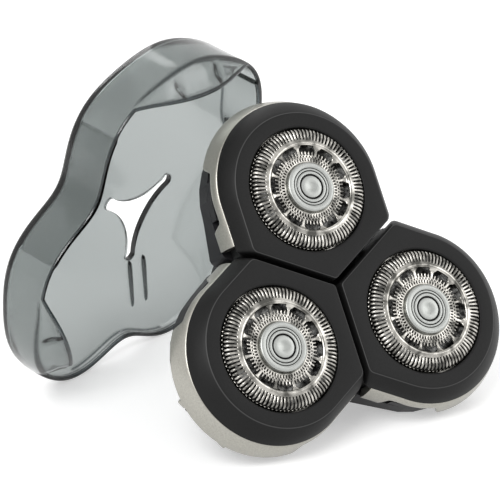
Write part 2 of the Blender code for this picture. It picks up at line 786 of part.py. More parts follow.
def drive_gear_shape():
    """The drive gear: teeth, an axle stub above and a shaft with a keyed socket below."""
    sides = 20
    rings = [
        circle(AXLE_R, -HOUSING_TOP - GAP, 12),
        circle(AXLE_R, GEAR_TOP, 12),
        gear_ring(DRIVE_TEETH, GEAR_TOP, 0.0),
        gear_ring(DRIVE_TEETH, GEAR_BOTTOM, 0.0),
        circle(SHAFT_R, GEAR_BOTTOM, sides),
        circle(SHAFT_R, -SHAFT_END, sides),
        circle(SHAFT_SOCKET_R, -SHAFT_END, KEY_SIDES),
        circle(SHAFT_SOCKET_R, -SHAFT_END + SHAFT_SOCKET_DEPTH, KEY_SIDES),
    ]
    return capped_loft(rings)


def lowered(ring):
    """The chamber's lower edge: it drops towards the seams on the two outer sides."""
    points = []
    for u, v, z in ring:
        on_side = abs(v) > PLATE_HALF_WIDTH - CHAMBER_SKIRT
        drop = SIDE_DROP_FULL * min(1.0, max(0.0, -u / SIDE_DROP_LENGTH)) if on_side else 0.0
        points.append((u, v, z - drop))
    return points


def chamber_shape():
    """The hair chamber: a wall and a floor with a collar round the spindle, open at the top."""
    seam = SEAM_GAP / 2 + CHAMBER_SEAM_INSET
    inner = CHAMBER_HALF_WIDTH - CHAMBER_WALL
    skirt = CHAMBER_HALF_WIDTH - CHAMBER_SKIRT
    edge = CHAMBER_EDGE
    rings = [
        lobe_outline(CHAMBER_HALF_WIDTH, seam, -CHAMBER_TOP),
        lowered(lobe_outline(CHAMBER_HALF_WIDTH, seam, -CHAMBER_BOTTOM + edge)),
        lowered(lobe_outline(CHAMBER_HALF_WIDTH - edge, seam + edge, -CHAMBER_BOTTOM)),
        lowered(lobe_outline(skirt, seam + CHAMBER_SKIRT, -CHAMBER_BOTTOM)),
        lobe_outline(skirt, seam + CHAMBER_SKIRT, FLOOR_BOTTOM),
        circle(COLLAR_HOLE_R, FLOOR_BOTTOM, 14),
        circle(COLLAR_HOLE_R, FLOOR_TOP + COLLAR_HEIGHT, 14),
        circle(COLLAR_HOLE_R + COLLAR_WALL, FLOOR_TOP + COLLAR_HEIGHT, 14),
        circle(COLLAR_HOLE_R + COLLAR_WALL, FLOOR_TOP, 14),
        lobe_outline(inner, seam + SKIRT_WALL, FLOOR_TOP),
        lobe_outline(inner, seam + SKIRT_WALL, -CHAMBER_TOP),
    ]
    return closed_loft(rings)


def base_outline(inset, z):
    """The gear housing seen from the face: a round body with three lobes over the gears."""
    lobe_r = HOUSING_LOBE_R - inset
    ring = []
    for i in range(BASE_SIDES):
        angle = 360.0 * i / BASE_SIDES
        away = math.radians(min(abs((angle - lobe + 180) % 360 - 180) for lobe in LOBE_ANGLES))
        radius = VALLEY_R - inset
        if CUTTER_CIRCLE * math.sin(away) < lobe_r and away < math.pi / 2:
            reach = CUTTER_CIRCLE * math.cos(away) \
                + math.sqrt(lobe_r ** 2 - (CUTTER_CIRCLE * math.sin(away)) ** 2)
            radius = max(radius, reach)
        turn = math.radians(angle)
        ring.append((radius * math.cos(turn), radius * math.sin(turn), z))
    return ring


def housing_shape():
    """The tray that holds the gears: floor with a hole for the drive shaft, and an outer wall."""
    hole = SHAFT_R + RUNNING_GAP
    rings = [
        base_outline(0.0, HOUSING_INSIDE_TOP - GAP),
        base_outline(0.0, HOUSING_BOTTOM + HOUSING_EDGE),
        base_outline(HOUSING_EDGE, HOUSING_BOTTOM),
        circle(hole, HOUSING_BOTTOM, 20),
        circle(hole, HOUSING_INSIDE_FLOOR, 20),
        base_outline(HOUSING_WALL, HOUSING_INSIDE_FLOOR),
        base_outline(HOUSING_WALL, HOUSING_INSIDE_TOP - GAP),
    ]
    return closed_loft(rings)


def housing_cover_shape():
    """The lid over the gears, with the bearing hole of the drive gear."""
    hole = AXLE_R + RUNNING_GAP
    rings = [
        base_outline(0.0, -HOUSING_TOP),
        base_outline(0.0, HOUSING_INSIDE_TOP),
        circle(hole, HOUSING_INSIDE_TOP, 12),
        circle(hole, -HOUSING_TOP, 12),
    ]
    return closed_loft(rings)


def boss_centres():
    """The three screw places, between the lobes."""
    centres = []
    for angle in LOBE_ANGLES:
        turn = math.radians(angle + 60.0)
        centres.append((BOSS_CIRCLE * math.cos(turn), BOSS_CIRCLE * math.sin(turn)))
    return centres


def upright_rod(radius, low, high, centre, count=12):
    """A round rod along the head's axis."""
    return capped_loft([circle(radius, z, count, centre) for z in (low, high)])


def spigot_shape():
    """The coupling: a flange against the housing, a web round the shaft and a round spigot."""
    hole = SHAFT_R + SHAFT_CLEARANCE
    inner = SPIGOT_R - SPIGOT_WALL
    rings = [
        circle(FLANGE_R, FLANGE_TOP, 36),
        circle(FLANGE_R, FLANGE_BOTTOM, 36),
        circle(SPIGOT_R, FLANGE_BOTTOM, 36),
        circle(SPIGOT_R, -SPIGOT_END, 36),
        circle(inner, -SPIGOT_END, 36),
        circle(inner, FLANGE_BOTTOM, 36),
        circle(hole, FLANGE_BOTTOM, 20),
        circle(hole, FLANGE_TOP, 20),
    ]
    return closed_loft(rings)


def screw_shape(centre):
    """One of the screws that hold coupling, housing and lid together."""
    sides = 8
    rings = [
        circle(SCREW_HEAD_R, FLANGE_BOTTOM - GAP - SCREW_HEAD, sides, centre),
        circle(SCREW_HEAD_R, FLANGE_BOTTOM - GAP, sides, centre),
        circle(SCREW_R, FLANGE_BOTTOM - GAP, sides, centre),
        circle(SCREW_R, -HOUSING_TOP - GAP, sides, centre),
    ]
    return capped_loft(rings)


def cap_radius(angle):
    """The cap's outline: a soft three-lobed curve, widest at the lobes."""
    turn = math.radians(angle - LOBE_ANGLES[0])
    third = (CAP_TIP_R - CAP_VALLEY_R) / 2 - CAP_NINTH
    mean = (CAP_TIP_R + CAP_VALLEY_R) / 2 - CAP_SIXTH
    return mean + third * math.cos(3 * turn) + CAP_SIXTH * math.cos(6 * turn) + CAP_NINTH * math.cos(9 * turn)


def from_lobe(angle):
    """Degrees between a direction and the nearest lobe."""
    return min(abs((angle - lobe + 180) % 360 - 180) for lobe in LOBE_ANGLES)


def from_low_valley(angle):
    """Degrees between a direction and the middle of the valley where the wall is cut low."""
    return abs((angle - CAP_LOW_ANGLE + 180) % 360 - 180)


def low_share(angle):
    """How much of the wall's height is cut away: 1 along the low valley, 0 beyond its ramps."""
    return min(1.0, max(0.0, (CAP_LOW_SPAN - from_low_valley(angle)) / CAP_LOW_RAMP))


def bend_height(angle):
    """Where the wall stops being upright: it slopes down a little towards the low valley."""
    full = CAP_BEND_HEIGHT - CAP_SLOPE * max(0.0, CAP_SLOPE_SPAN - from_low_valley(angle))
    return full + (CAP_LOW_HEIGHT - CAP_LIP - full) * low_share(angle)


def tab_rise(angle):
    """How far the tab over a lobe stands beyond the wall's lip."""
    away = from_lobe(angle)
    if away >= CAP_TAB_ANGLE:
        return 0.0
    full = (CAP_TAB_RISE - CAP_LIP) * math.cos(math.pi / 2 * away / CAP_TAB_ANGLE)
    return full * (1.0 - low_share(angle))


def cap_height(angle):
    """How far the cap's wall reaches from the panel."""
    return bend_height(angle) + CAP_LIP + tab_rise(angle)


def edge_radius(angle):
    """The outline at the free edge of the wall: the tabs lean inwards."""
    return cap_radius(angle) - tab_rise(angle) * math.tan(math.radians(CAP_TAB_LEAN))


def star_radius(angle):
    """The star-shaped hole: three arcs that bow inwards at the lobes, and points between them."""
    away = math.radians(from_lobe(angle))
    side = STAR_ARC_CENTRE * math.sin(away)
    if side < STAR_ARC_R * STAR_TIP_SHARE:
        return STAR_ARC_CENTRE * math.cos(away) - math.sqrt(STAR_ARC_R ** 2 - side ** 2)
    return STAR_TIP_R


def cap_ring(radius_of, z_of):
    """A ring of the cap from its radius and height at each angle."""
    ring = []
    for i in range(CAP_SIDES):
        angle = 360.0 * i / CAP_SIDES
        turn = math.radians(angle)
        radius = radius_of(angle)
        ring.append((radius * math.cos(turn), radius * math.sin(turn), z_of(angle)))
    return ring


def cap_shape():
    """The protective cap: a panel with a star-shaped hole and a wall with a tab over each lobe."""
    rings = [
        cap_ring(star_radius, lambda a: 0.0),
        cap_ring(lambda a: cap_radius(a) - CAP_EDGE, lambda a: 0.0),
        cap_ring(cap_radius, lambda a: CAP_EDGE),
        cap_ring(cap_radius, bend_height),
        cap_ring(edge_radius, cap_height),
        cap_ring(lambda a: edge_radius(a) - CAP_WALL, cap_height),
        cap_ring(lambda a: cap_radius(a) - CAP_WALL, bend_height),
        cap_ring(lambda a: cap_radius(a) - CAP_WALL, lambda a: CAP_WALL + CAP_EDGE / 2),
        cap_ring(lambda a: cap_radius(a) - CAP_WALL - CAP_EDGE / 2, lambda a: CAP_WALL),
        cap_ring(star_radius, lambda a: CAP_WALL),
    ]
    return closed_loft(rings)


def cap_rib(x, top):
    """One of the two raised ribs on the inside of the panel, tapered towards its far end."""
    low = CAP_WALL - RIB_ROOT
    high = CAP_WALL + RIB_HEIGHT
    rings = []
    for y, half in ((top, RIB_WIDTH / 2), (top - RIB_LENGTH, RIB_WIDTH / 4)):
        rings.append([(x - half, y, low), (x + half, y, low), (x + half, y, high), (x - half, y, high)])
    turn = Matrix.Rotation(math.radians(RIB_TURN), 3, "Z")
    return capped_loft([[tuple(turn @ Vector(p)) for p in ring] for ring in rings])


def make_materials():
    """The finishes of the head and the cap."""
    return {
        "black": make_material("black_abs", (0.018, 0.018, 0.018), 0.45),
        "dark": make_material("dark_grey_abs", (0.045, 0.045, 0.047), 0.5),
        "silver": make_material("champagne_lacquer", (0.42, 0.40, 0.36), 0.35, 0.8),
        "steel": make_material("stamped_steel", (0.62, 0.61, 0.58), 0.2, 1.0),
        "satin": make_material("satin_steel", (0.60, 0.61, 0.60), 0.4, 1.0),
        "acetal": make_material("grey_acetal", (0.25, 0.25, 0.26), 0.5),
        "smoke": make_material("smoked_cap", (0.30, 0.33, 0.33), 0.15, 0.0, 0.5),
    }


def build_lobe(number, head, finish):
    """One lobe with all its pieces, numbered from the one that points up."""
    angle = LOBE_ANGLES[number - 1]
    turn = math.radians(angle)
    place = (CUTTER_CIRCLE * math.cos(turn), CUTTER_CIRCLE * math.sin(turn), 0)
    lobe = add_empty(f"lobe_{number}_frame", head, place, (0, 0, angle))
    hinge = (HINGE_U, 0, HINGE_Z)
    tilt = (TILT_U, 0, TILT_Z)
    ear_low = KNUCKLE_HALF + GAP
    ear_high = ear_low + EAR_WIDTH

    add_piece(f"cover_{number}", cover_shape(), finish["black"], lobe, hinge)

    rim = add_piece(f"rim_{number}", rim_shape(), finish["silver"], lobe, hinge)
    ears = joined([slab(hinge_ear_outline(), side * ear_low, side * ear_high) for side in (-1, 1)])
    apply_tool(rim, "UNION", f"rim_{number}_ears", ears, lobe)
    bore = cross_rod(HINGE_PIN_R + GAP, ear_high + 1, HINGE_U, HINGE_Z)
    apply_tool(rim, "DIFFERENCE", f"rim_{number}_bore", bore, lobe)

    add_piece(f"guard_{number}", guard_shape(), finish["steel"], lobe)
    add_piece(f"guard_disc_{number}", disc_shape(), finish["satin"], lobe)
    add_piece(f"cutter_{number}", cutter_shape(), finish["steel"], lobe)
    add_piece(f"retainer_{number}", retainer_shape(), finish["acetal"], lobe)
    add_piece(f"spindle_{number}", spindle_shape(), finish["acetal"], lobe)
    add_piece(f"spring_{number}", spring_shape(), finish["steel"], lobe)
    add_piece(f"lobe_gear_{number}", lobe_gear_shape(angle), finish["acetal"], lobe)

    chamber = add_piece(f"chamber_{number}", chamber_shape(), finish["dark"], lobe, tilt)
    recess = box((HINGE_FLAT_U, -ear_high - 2 * GAP, -CHAMBER_BOTTOM - 1),
                 (CHAMBER_HALF_WIDTH + 1, ear_high + 2 * GAP, -CHAMBER_TOP + 1))
    apply_tool(chamber, "DIFFERENCE", f"chamber_{number}_recess", recess, lobe)
    knuckle = slab(knuckle_outline(), -KNUCKLE_HALF, KNUCKLE_HALF)
    barrel = slab(barrel_outline(), -BARREL_HALF, BARREL_HALF)
    additions = joined([knuckle, barrel, tab_shape(1), tab_shape(-1)])
    apply_tool(chamber, "UNION", f"chamber_{number}_additions", additions, lobe)
    bores = joined([
        cross_rod(HINGE_PIN_R + GAP, KNUCKLE_HALF + 1, HINGE_U, HINGE_Z),
        cross_rod(TILT_PIN_R + GAP, BARREL_HALF + 1, TILT_U, TILT_Z),
    ])
    apply_tool(chamber, "DIFFERENCE", f"chamber_{number}_bores", bores, lobe)

    add_piece(f"hinge_pin_{number}", cross_rod(HINGE_PIN_R, ear_high, HINGE_U, HINGE_Z), finish["steel"],
              lobe, hinge)
    tilt_pin = cross_rod(TILT_PIN_R, BARREL_HALF + GAP + TILT_EAR, TILT_U, TILT_Z)
    add_piece(f"tilt_pin_{number}", tilt_pin, finish["steel"], lobe, tilt)


def tab_shape(side):
    """The grip on one side of the chamber that stands in the rim's notch."""
    start = rim_straight_start() + NOTCH_START + NOTCH_RAMP + TAB_CLEARANCE
    end = start + NOTCH_LENGTH - 2 * NOTCH_RAMP - 2 * TAB_CLEARANCE
    inner = CHAMBER_HALF_WIDTH - TAB_THICKNESS
    rings = []
    for z in (-CHAMBER_TOP - TAB_ROOT, -CHAMBER_TOP + TAB_HEIGHT):
        ring = []
        for radius, share in ((CHAMBER_HALF_WIDTH, 0.0), (CHAMBER_HALF_WIDTH, 0.5), (CHAMBER_HALF_WIDTH, 1.0),
                              (inner, 1.0), (inner, 0.5), (inner, 0.0)):
            along = start + (end - start) * share
            turn = max(0.0, along) / CHAMBER_HALF_WIDTH
            u = min(0.0, along) + radius * math.sin(turn)
            ring.append((u, side * radius * math.cos(turn), z))
        rings.append(ring)
    return capped_loft(rings)


def knuckle_outline():
    """The chamber's knuckle at the tip, round the cover's hinge pin."""
    root = HINGE_FLAT_U - HINGE_ROOT
    neck = KNUCKLE_R * KNUCKLE_NECK
    outline = [(root, HINGE_Z + neck), (root, HINGE_Z - neck)]
    for angle in (-120, -90, -60, -30, 0, 30, 60, 90, 120):
        turn = math.radians(angle)
        outline.append((HINGE_U + KNUCKLE_R * math.cos(turn), HINGE_Z + KNUCKLE_R * math.sin(turn)))
    return outline


def barrel_outline():
    """The chamber's barrel round the tilt pin, joined to the floor above it."""
    root = FLOOR_BOTTOM + TILT_ROOT
    outline = [(TILT_U + BARREL_R, root), (TILT_U - BARREL_R, root)]
    for angle in (180, 210, 240, 270, 300, 330, 360):
        turn = math.radians(angle)
        outline.append((TILT_U + BARREL_R * math.cos(turn), TILT_Z + BARREL_R * math.sin(turn)))
    return outline


def tilt_ear_outline():
    """An ear on the housing cover for the tilt pin."""
    root = -HOUSING_TOP - TILT_ROOT
    outline = [(TILT_U - BARREL_R, root), (TILT_U + BARREL_R, root)]
    for angle in (0, 30, 60, 90, 120, 150, 180):
        turn = math.radians(angle)
        outline.append((TILT_U + BARREL_R * math.cos(turn), TILT_Z + BARREL_R * math.sin(turn)))
    return outline


def build_base(head, finish):
    """Gear housing, lid, drive gear, coupling and screws."""
    low = HOUSING_INSIDE_FLOOR - HOUSING_FLOOR / 3
    high = HOUSING_INSIDE_TOP - GAP
    housing = add_piece("gear_housing", housing_shape(), finish["dark"], head)
    bosses = joined([upright_rod(BOSS_R, low, high, c) for c in boss_centres()])
    apply_tool(housing, "UNION", "housing_bosses", bosses, head)
    holes = joined([upright_rod(SCREW_R + GAP, HOUSING_BOTTOM - 1, high + 1, c, 8) for c in boss_centres()])
    apply_tool(housing, "DIFFERENCE", "housing_screw_holes", holes, head)

    lid = add_piece("housing_cover", housing_cover_shape(), finish["dark"], head)
    ear_low = BARREL_HALF + GAP
    ear_high = ear_low + TILT_EAR
    pair = joined([slab(tilt_ear_outline(), side * ear_low, side * ear_high) for side in (-1, 1)])
    apply_tool(lid, "UNION", "lid_ears", round_all_lobes(pair), head)
    under, over = HOUSING_INSIDE_TOP - 1, -HOUSING_TOP + HOUSING_DROP / 2
    cuts = joined([
        cross_rod(TILT_PIN_R + GAP, ear_high + 1, TILT_U, TILT_Z),
        upright_rod(CUP_R + RUNNING_GAP, under, over, (0, 0), 20),
    ])
    holes = [upright_rod(SCREW_R + GAP, under, over, c, 8) for c in boss_centres()]
    apply_tool(lid, "DIFFERENCE", "lid_holes", joined([round_all_lobes(cuts)] + holes), head)

    add_piece("drive_gear", drive_gear_shape(), finish["acetal"], head)

    spigot = add_piece("coupling_spigot", spigot_shape(), finish["dark"], head)
    holes = [upright_rod(SCREW_R + GAP, FLANGE_BOTTOM - 1, FLANGE_TOP + 1, c, 8) for c in boss_centres()]
    slot = box((SPIGOT_R - CUTTER_CIRCLE - 3, -SPIGOT_SLOT_WIDTH / 2, -SPIGOT_END - 1),
               (SPIGOT_R - CUTTER_CIRCLE + 1, SPIGOT_SLOT_WIDTH / 2, -SPIGOT_END + SPIGOT_SLOT_DEPTH))
    apply_tool(spigot, "DIFFERENCE", "spigot_cuts", joined([round_all_lobes(slot)] + holes), head)

    for number, centre in enumerate(boss_centres(), 1):
        add_piece(f"screw_{number}", screw_shape(centre), finish["satin"], head)


def build_cap(parent, finish):
    """The cap with its two ribs."""
    cap = add_piece("protective_cap", cap_shape(), finish["smoke"], parent)
    left = cap_rib(RIB_OFFSET - RIB_SPACING / 2, RIB_TOP)
    right = cap_rib(RIB_OFFSET + RIB_SPACING / 2, RIB_TOP - RIB_STAGGER)
    ribs = joined([left, right])
    apply_tool(cap, "UNION", "cap_ribs", ribs, parent)
    return cap


def world_points(pieces):
    """Every corner point of some pieces, as the modifiers leave them."""
    graph = bpy.context.evaluated_depsgraph_get()
    points = []
    for piece in pieces:
        shown = piece.evaluated_get(graph)
        mesh = shown.to_mesh()
        points += [piece.matrix_world @ v.co for v in mesh.vertices]
        shown.to_mesh_clear()
    return points


def stand_on_floor(frame, pieces):
    """Lower or raise a frame until its pieces just touch the floor."""
    bpy.context.view_layer.update()
    lowest = min(p.z for p in world_points(pieces))
    frame.location.z -= lowest


def centre_on_origin(frames, pieces):
    """Shift everything until the middle of the base of its box is the origin."""
    bpy.context.view_layer.update()
    points = world_points(pieces)
    for axis in (0, 1):
        middle = (min(p[axis] for p in points) + max(p[axis] for p in points)) / 2
        for frame in frames:
            frame.location[axis] -= middle


def build():
    """The whole object, standing on z = 0 with its box centred on the origin."""
    for thing in list(bpy.data.objects):
        bpy.data.objects.remove(thing)
    finish = make_materials()
    head = add_empty("head_frame", rotation=(HEAD_TIP, 0, 0))
    for number in (1, 2, 3):
        build_lobe(number, head, finish)
    build_base(head, finish)
    head_pieces = [o for o in bpy.data.objects if o.type == "MESH" and not o.hide_render]

    cap_frame = add_empty("cap_frame", location=(CAP_SHIFT_X, CAP_SHIFT_Y, 0))
    stance = Matrix.Rotation(math.radians(CAP_YAW), 3, "Z") @ Matrix.Rotation(
        math.radians(90.0 + CAP_LEAN), 3, "X")
    cap_frame.rotation_euler = stance.to_euler()
    cap = build_cap(cap_frame, finish)

    stand_on_floor(head, head_pieces)
    stand_on_floor(cap_frame, [cap])
    centre_on_origin((head, cap_frame), head_pieces + [cap])


build()
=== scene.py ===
"""Looks of a rotary shaver head and its clear cap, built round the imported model. Shapes are worked
out in millimetres, in the head's own frame or a lobe's, and placed in metres."""
import json
import math

import bpy
import numpy as np
from mathutils import Matrix, Vector


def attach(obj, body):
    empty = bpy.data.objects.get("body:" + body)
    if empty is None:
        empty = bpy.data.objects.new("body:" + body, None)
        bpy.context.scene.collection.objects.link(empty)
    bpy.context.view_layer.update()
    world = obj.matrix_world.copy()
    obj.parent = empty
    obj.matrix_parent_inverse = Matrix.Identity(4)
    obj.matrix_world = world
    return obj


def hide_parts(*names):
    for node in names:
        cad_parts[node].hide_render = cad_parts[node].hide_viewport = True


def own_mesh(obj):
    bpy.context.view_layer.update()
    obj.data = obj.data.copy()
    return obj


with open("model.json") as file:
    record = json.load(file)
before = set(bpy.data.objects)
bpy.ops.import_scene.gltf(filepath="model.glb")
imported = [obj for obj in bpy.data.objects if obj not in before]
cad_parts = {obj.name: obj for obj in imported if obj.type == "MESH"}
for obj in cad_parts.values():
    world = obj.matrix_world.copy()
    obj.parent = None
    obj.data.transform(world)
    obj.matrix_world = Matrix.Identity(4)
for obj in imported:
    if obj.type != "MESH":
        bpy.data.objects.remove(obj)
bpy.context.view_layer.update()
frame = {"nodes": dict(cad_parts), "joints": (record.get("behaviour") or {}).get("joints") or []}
nodes = frame["nodes"]


# The camera. The photograph looks down by 23 degrees on the shaving face, which leans back, from the
# left of it and from 0.6 m away through a long lens. Its place is measured from the face's centre.
MM = 0.001
DRIVE_BELOW_FACE = 16.6
FOCAL_PX = 3180.0
PHOTO_PX = 500.0
SENSOR = 36.0
HEAD_TURN = np.array([-0.203, 0.480, 0.270])
FACE_IN_VIEW = np.array([16.87, -6.19, -609.0])
UP_IN_VIEW = np.array([0.0, 0.9178, 0.3970])

joints = {joint["name"]: joint for joint in frame["joints"]}
drive = joints["drive_spin"]
head_axis = np.array(drive["axis"], float)
face_centre = np.array(drive["pos_m"], float) + head_axis * DRIVE_BELOW_FACE * MM

turn = np.linalg.norm(HEAD_TURN)
across = np.array(Matrix.Rotation(turn, 3, HEAD_TURN / turn).col[0])
up = UP_IN_VIEW - across * (UP_IN_VIEW @ across)
up /= np.linalg.norm(up)
world_in_view = np.stack([across, np.cross(up, across), up], 1)
eye = face_centre - world_in_view.T @ FACE_IN_VIEW * MM

camera_data = bpy.data.cameras.new("camera")
camera_data.sensor_width = SENSOR
camera_data.lens = FOCAL_PX / PHOTO_PX * SENSOR
camera_data.clip_end = 20.0
camera = bpy.data.objects.new("camera", camera_data)
camera.matrix_world = Matrix.Translation(eye) @ Matrix(world_in_view.T).to_4x4()
bpy.context.scene.collection.objects.link(camera)
bpy.context.scene.camera = camera
bpy.context.scene.view_settings.view_transform = "Standard"


# Floor and light. A white studio table under one broad lamp above left, a fill at the right and one
# behind. Camera, gloss and glass rays see white added to it, and more of it beyond the lamps' reach,
# so that it runs into the white sweep with no horizon, while it still takes the object's shadow.
WHITE = (1.0, 1.0, 1.0, 1.0)


def linear(code):
    """A hex colour as linear red, green and blue: each channel through the sRGB curve."""
    channels = np.array([int(code[i:i + 2], 16) for i in (1, 3, 5)]) / 255.0
    return tuple(np.where(channels <= 0.04045, channels / 12.92, ((channels + 0.055) / 1.055) ** 2.4))


def add_node(tree, kind, settings=None, links=None):
    """One node: settings are properties or socket values, links are socket name to output socket."""
    node = tree.nodes.new(kind)
    for key, value in (settings or {}).items():
        if isinstance(key, str) and hasattr(node, key):
            setattr(node, key, value)
        else:
            node.inputs[key].default_value = value
    for key, output in (links or {}).items():
        tree.links.new(output, node.inputs[key])
    return node


def seen_directly(tree):
    """1 for camera, gloss and glass rays, 0 for the rays that light the object."""
    path = add_node(tree, "ShaderNodeLightPath")
    first = add_node(tree, "ShaderNodeMath", {"operation": "MAXIMUM"},
                     {0: path.outputs["Is Camera Ray"], 1: path.outputs["Is Glossy Ray"]})
    return add_node(tree, "ShaderNodeMath", {"operation": "MAXIMUM"},
                    {0: first.outputs[0], 1: path.outputs["Is Transmission Ray"]}).outputs[0]


FLOOR_HALF = 4.0
FLOOR_WHITE = "#E6E6E6"
FLOOR_GLOW = 0.42
FAR_GLOW = 0.62
LAMPS_REACH = (1.0, 2.4)
floor_mesh = bpy.data.meshes.new("floor")
corners = ((-1, -1), (1, -1), (1, 1), (-1, 1))
floor_mesh.from_pydata([(x * FLOOR_HALF, y * FLOOR_HALF, 0.0) for x, y in corners], [], [(0, 1, 2, 3)])
floor = bpy.data.objects.new("floor", floor_mesh)
bpy.context.scene.collection.objects.link(floor)
floor_paint = bpy.data.materials.new("white_table")
floor_paint.use_nodes = True
tree = floor_paint.node_tree
tree.nodes.clear()
plain = add_node(tree, "ShaderNodeBsdfDiffuse", {"Color": (*linear(FLOOR_WHITE), 1.0)})
place = add_node(tree, "ShaderNodeTexCoord").outputs["Object"]
away = add_node(tree, "ShaderNodeVectorMath", {"operation": "LENGTH"}, {0: place}).outputs["Value"]
level = add_node(tree, "ShaderNodeMapRange",
                 {"From Min": LAMPS_REACH[0], "From Max": LAMPS_REACH[1],
                  "To Min": FLOOR_GLOW, "To Max": FAR_GLOW}, {"Value": away})
seen_level = add_node(tree, "ShaderNodeMath", {"operation": "MULTIPLY"},
                      {0: seen_directly(tree), 1: level.outputs[0]})
glow = add_node(tree, "ShaderNodeEmission", {"Color": WHITE}, {"Strength": seen_level.outputs[0]})
both = add_node(tree, "ShaderNodeAddShader", None, {0: plain.outputs[0], 1: glow.outputs[0]})
add_node(tree, "ShaderNodeOutputMaterial", None, {"Surface": both.outputs[0]})
floor_mesh.materials.append(floor_paint)

WORLD_LIGHT = 0.55
world = bpy.data.worlds.new("studio")
bpy.context.scene.world = world
world.use_nodes = True
tree = world.node_tree
tree.nodes.clear()
strength = add_node(tree, "ShaderNodeMapRange", {"To Min": WORLD_LIGHT, "To Max": 1.0},
                    {"Value": seen_directly(tree)})
sky = add_node(tree, "ShaderNodeBackground", {"Color": WHITE}, {"Strength": strength.outputs[0]})
add_node(tree, "ShaderNodeOutputWorld", None, {"Surface": sky.outputs[0]})


LAMPS_AIM = (0.0, 0.0, 0.04)


def add_lamp(name, place, size, watts):
    """A square soft lamp at a place in metres, turned to the object's middle."""
    data = bpy.data.lights.new(name, "AREA")
    data.size = size
    data.energy = watts
    lamp = bpy.data.objects.new(name, data)
    towards = Vector(place) - Vector(LAMPS_AIM)
    lamp.matrix_world = Matrix.Translation(place) @ towards.to_track_quat("Z", "Y").to_matrix().to_4x4()
    bpy.context.scene.collection.objects.link(lamp)


add_lamp("key", (-0.7, -0.5, 0.9), 0.6, 9.0)
add_lamp("fill", (0.9, -0.6, 0.5), 0.7, 3.5)
add_lamp("back", (0.1, 0.9, 0.8), 0.7, 4.0)


# Lobes. Three alike stand round the coupling's axis. Each is worked out in its own frame: u points
# out from the axis, v across, z out of the face, with the cutter's centre as the origin.
CUTTER_BELOW_FACE = -0.4
LOBES = (1, 2, 3)


def lobe_frame(number):
    """The cutter's centre on the face plane and the three directions of a lobe, as columns."""
    spin = joints[f"cutter_{number}_spin"]
    v_axis = np.array(joints[f"cover_{number}_open"]["axis"], float)
    centre = np.array(spin["pos_m"], float) + head_axis * CUTTER_BELOW_FACE * MM
    return centre, np.stack([np.cross(v_axis, head_axis), v_axis, head_axis], 1)


def finish_piece(name, mesh, material, body, replaced, sharp=32.0):
    """Smooth shading with sharp edges, the material, and what the piece rides on and stands for."""
    mesh.shade_smooth()
    mesh.set_sharp_from_angle(angle=math.radians(sharp))
    mesh.materials.append(material)
    piece = bpy.data.objects.new(name, mesh)
    bpy.context.scene.collection.objects.link(piece)
    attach(piece, body)
    if replaced:
        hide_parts(*replaced)
    return piece


def grid_faces(rows, columns, close_rows=False):
    """Four-sided faces between neighbours of a grid whose rows are closed rings. Where close_rows is
    set, the last ring joins the first."""
    index = np.arange(rows * columns).reshape(rows, columns)
    index = np.concatenate([index, index[:, :1]], 1)
    if close_rows:
        index = np.concatenate([index, index[:1]], 0)
    return np.stack([index[:-1, :-1], index[:-1, 1:], index[1:, 1:], index[1:, :-1]], -1).reshape(-1, 4)


def tube_faces(rows, columns):
    """The faces of a grid of closed rings, and one face over each of its two ends."""
    first = tuple(range(columns))[::-1]
    last = tuple(range((rows - 1) * columns, rows * columns))
    return grid_faces(rows, columns).tolist() + [first, last]


def placed_mesh(name, points, faces, centre, axes):
    """A mesh of points in millimetres in a frame, put in its place in metres: centre + axes . point.
    Its faces are turned over if the volume under them, a sum of p . (q x r) / 6, is negative."""
    place = points.reshape(-1, 3) @ axes.T * MM + centre
    about = place - place.mean(0)
    fours = np.array([face for face in faces if len(face) == 4])
    p, q, r, t = (about[fours[:, k]] for k in range(4))
    if np.sum(p * np.cross(q, r)) + np.sum(p * np.cross(r, t)) < 0:
        faces = [face[::-1] for face in faces]
    mesh = bpy.data.meshes.new(name)
    mesh.from_pydata(place.tolist(), [], [tuple(face) for face in faces])
    mesh.validate()
    return mesh


# Covers. Each is a plate of black ABS, moulded with a fine satin grain that shows as a soft sheen,
# with a round hole for the guard, a bevel down to the rim and a skirt inside it.
CUTTER_CIRCLE = 19.0
SEAM = math.radians(60.0)
HUB_R = 0.9
SIDE_R = 1.4
PLATE_HALF_WIDTH = 16.3
CREASE_HALF_WIDTH = 15.35
BEVEL_WIDTH = 1.1
BEVEL_DEPTH = 3.2
TIP_REACH = 1.0
HALF_SEAM = 0.5
HOLE_R = 12.3
SKIRT_HALF_WIDTH = 16.0
SKIRT_DEPTH = 7.85
SKIRT_WALL = 1.2
COVER_UNDER = -1.85
CREASE_RING = 7
MOTTLE = (0.72, 1.28)
GRAIN_RELIEF = 0.02


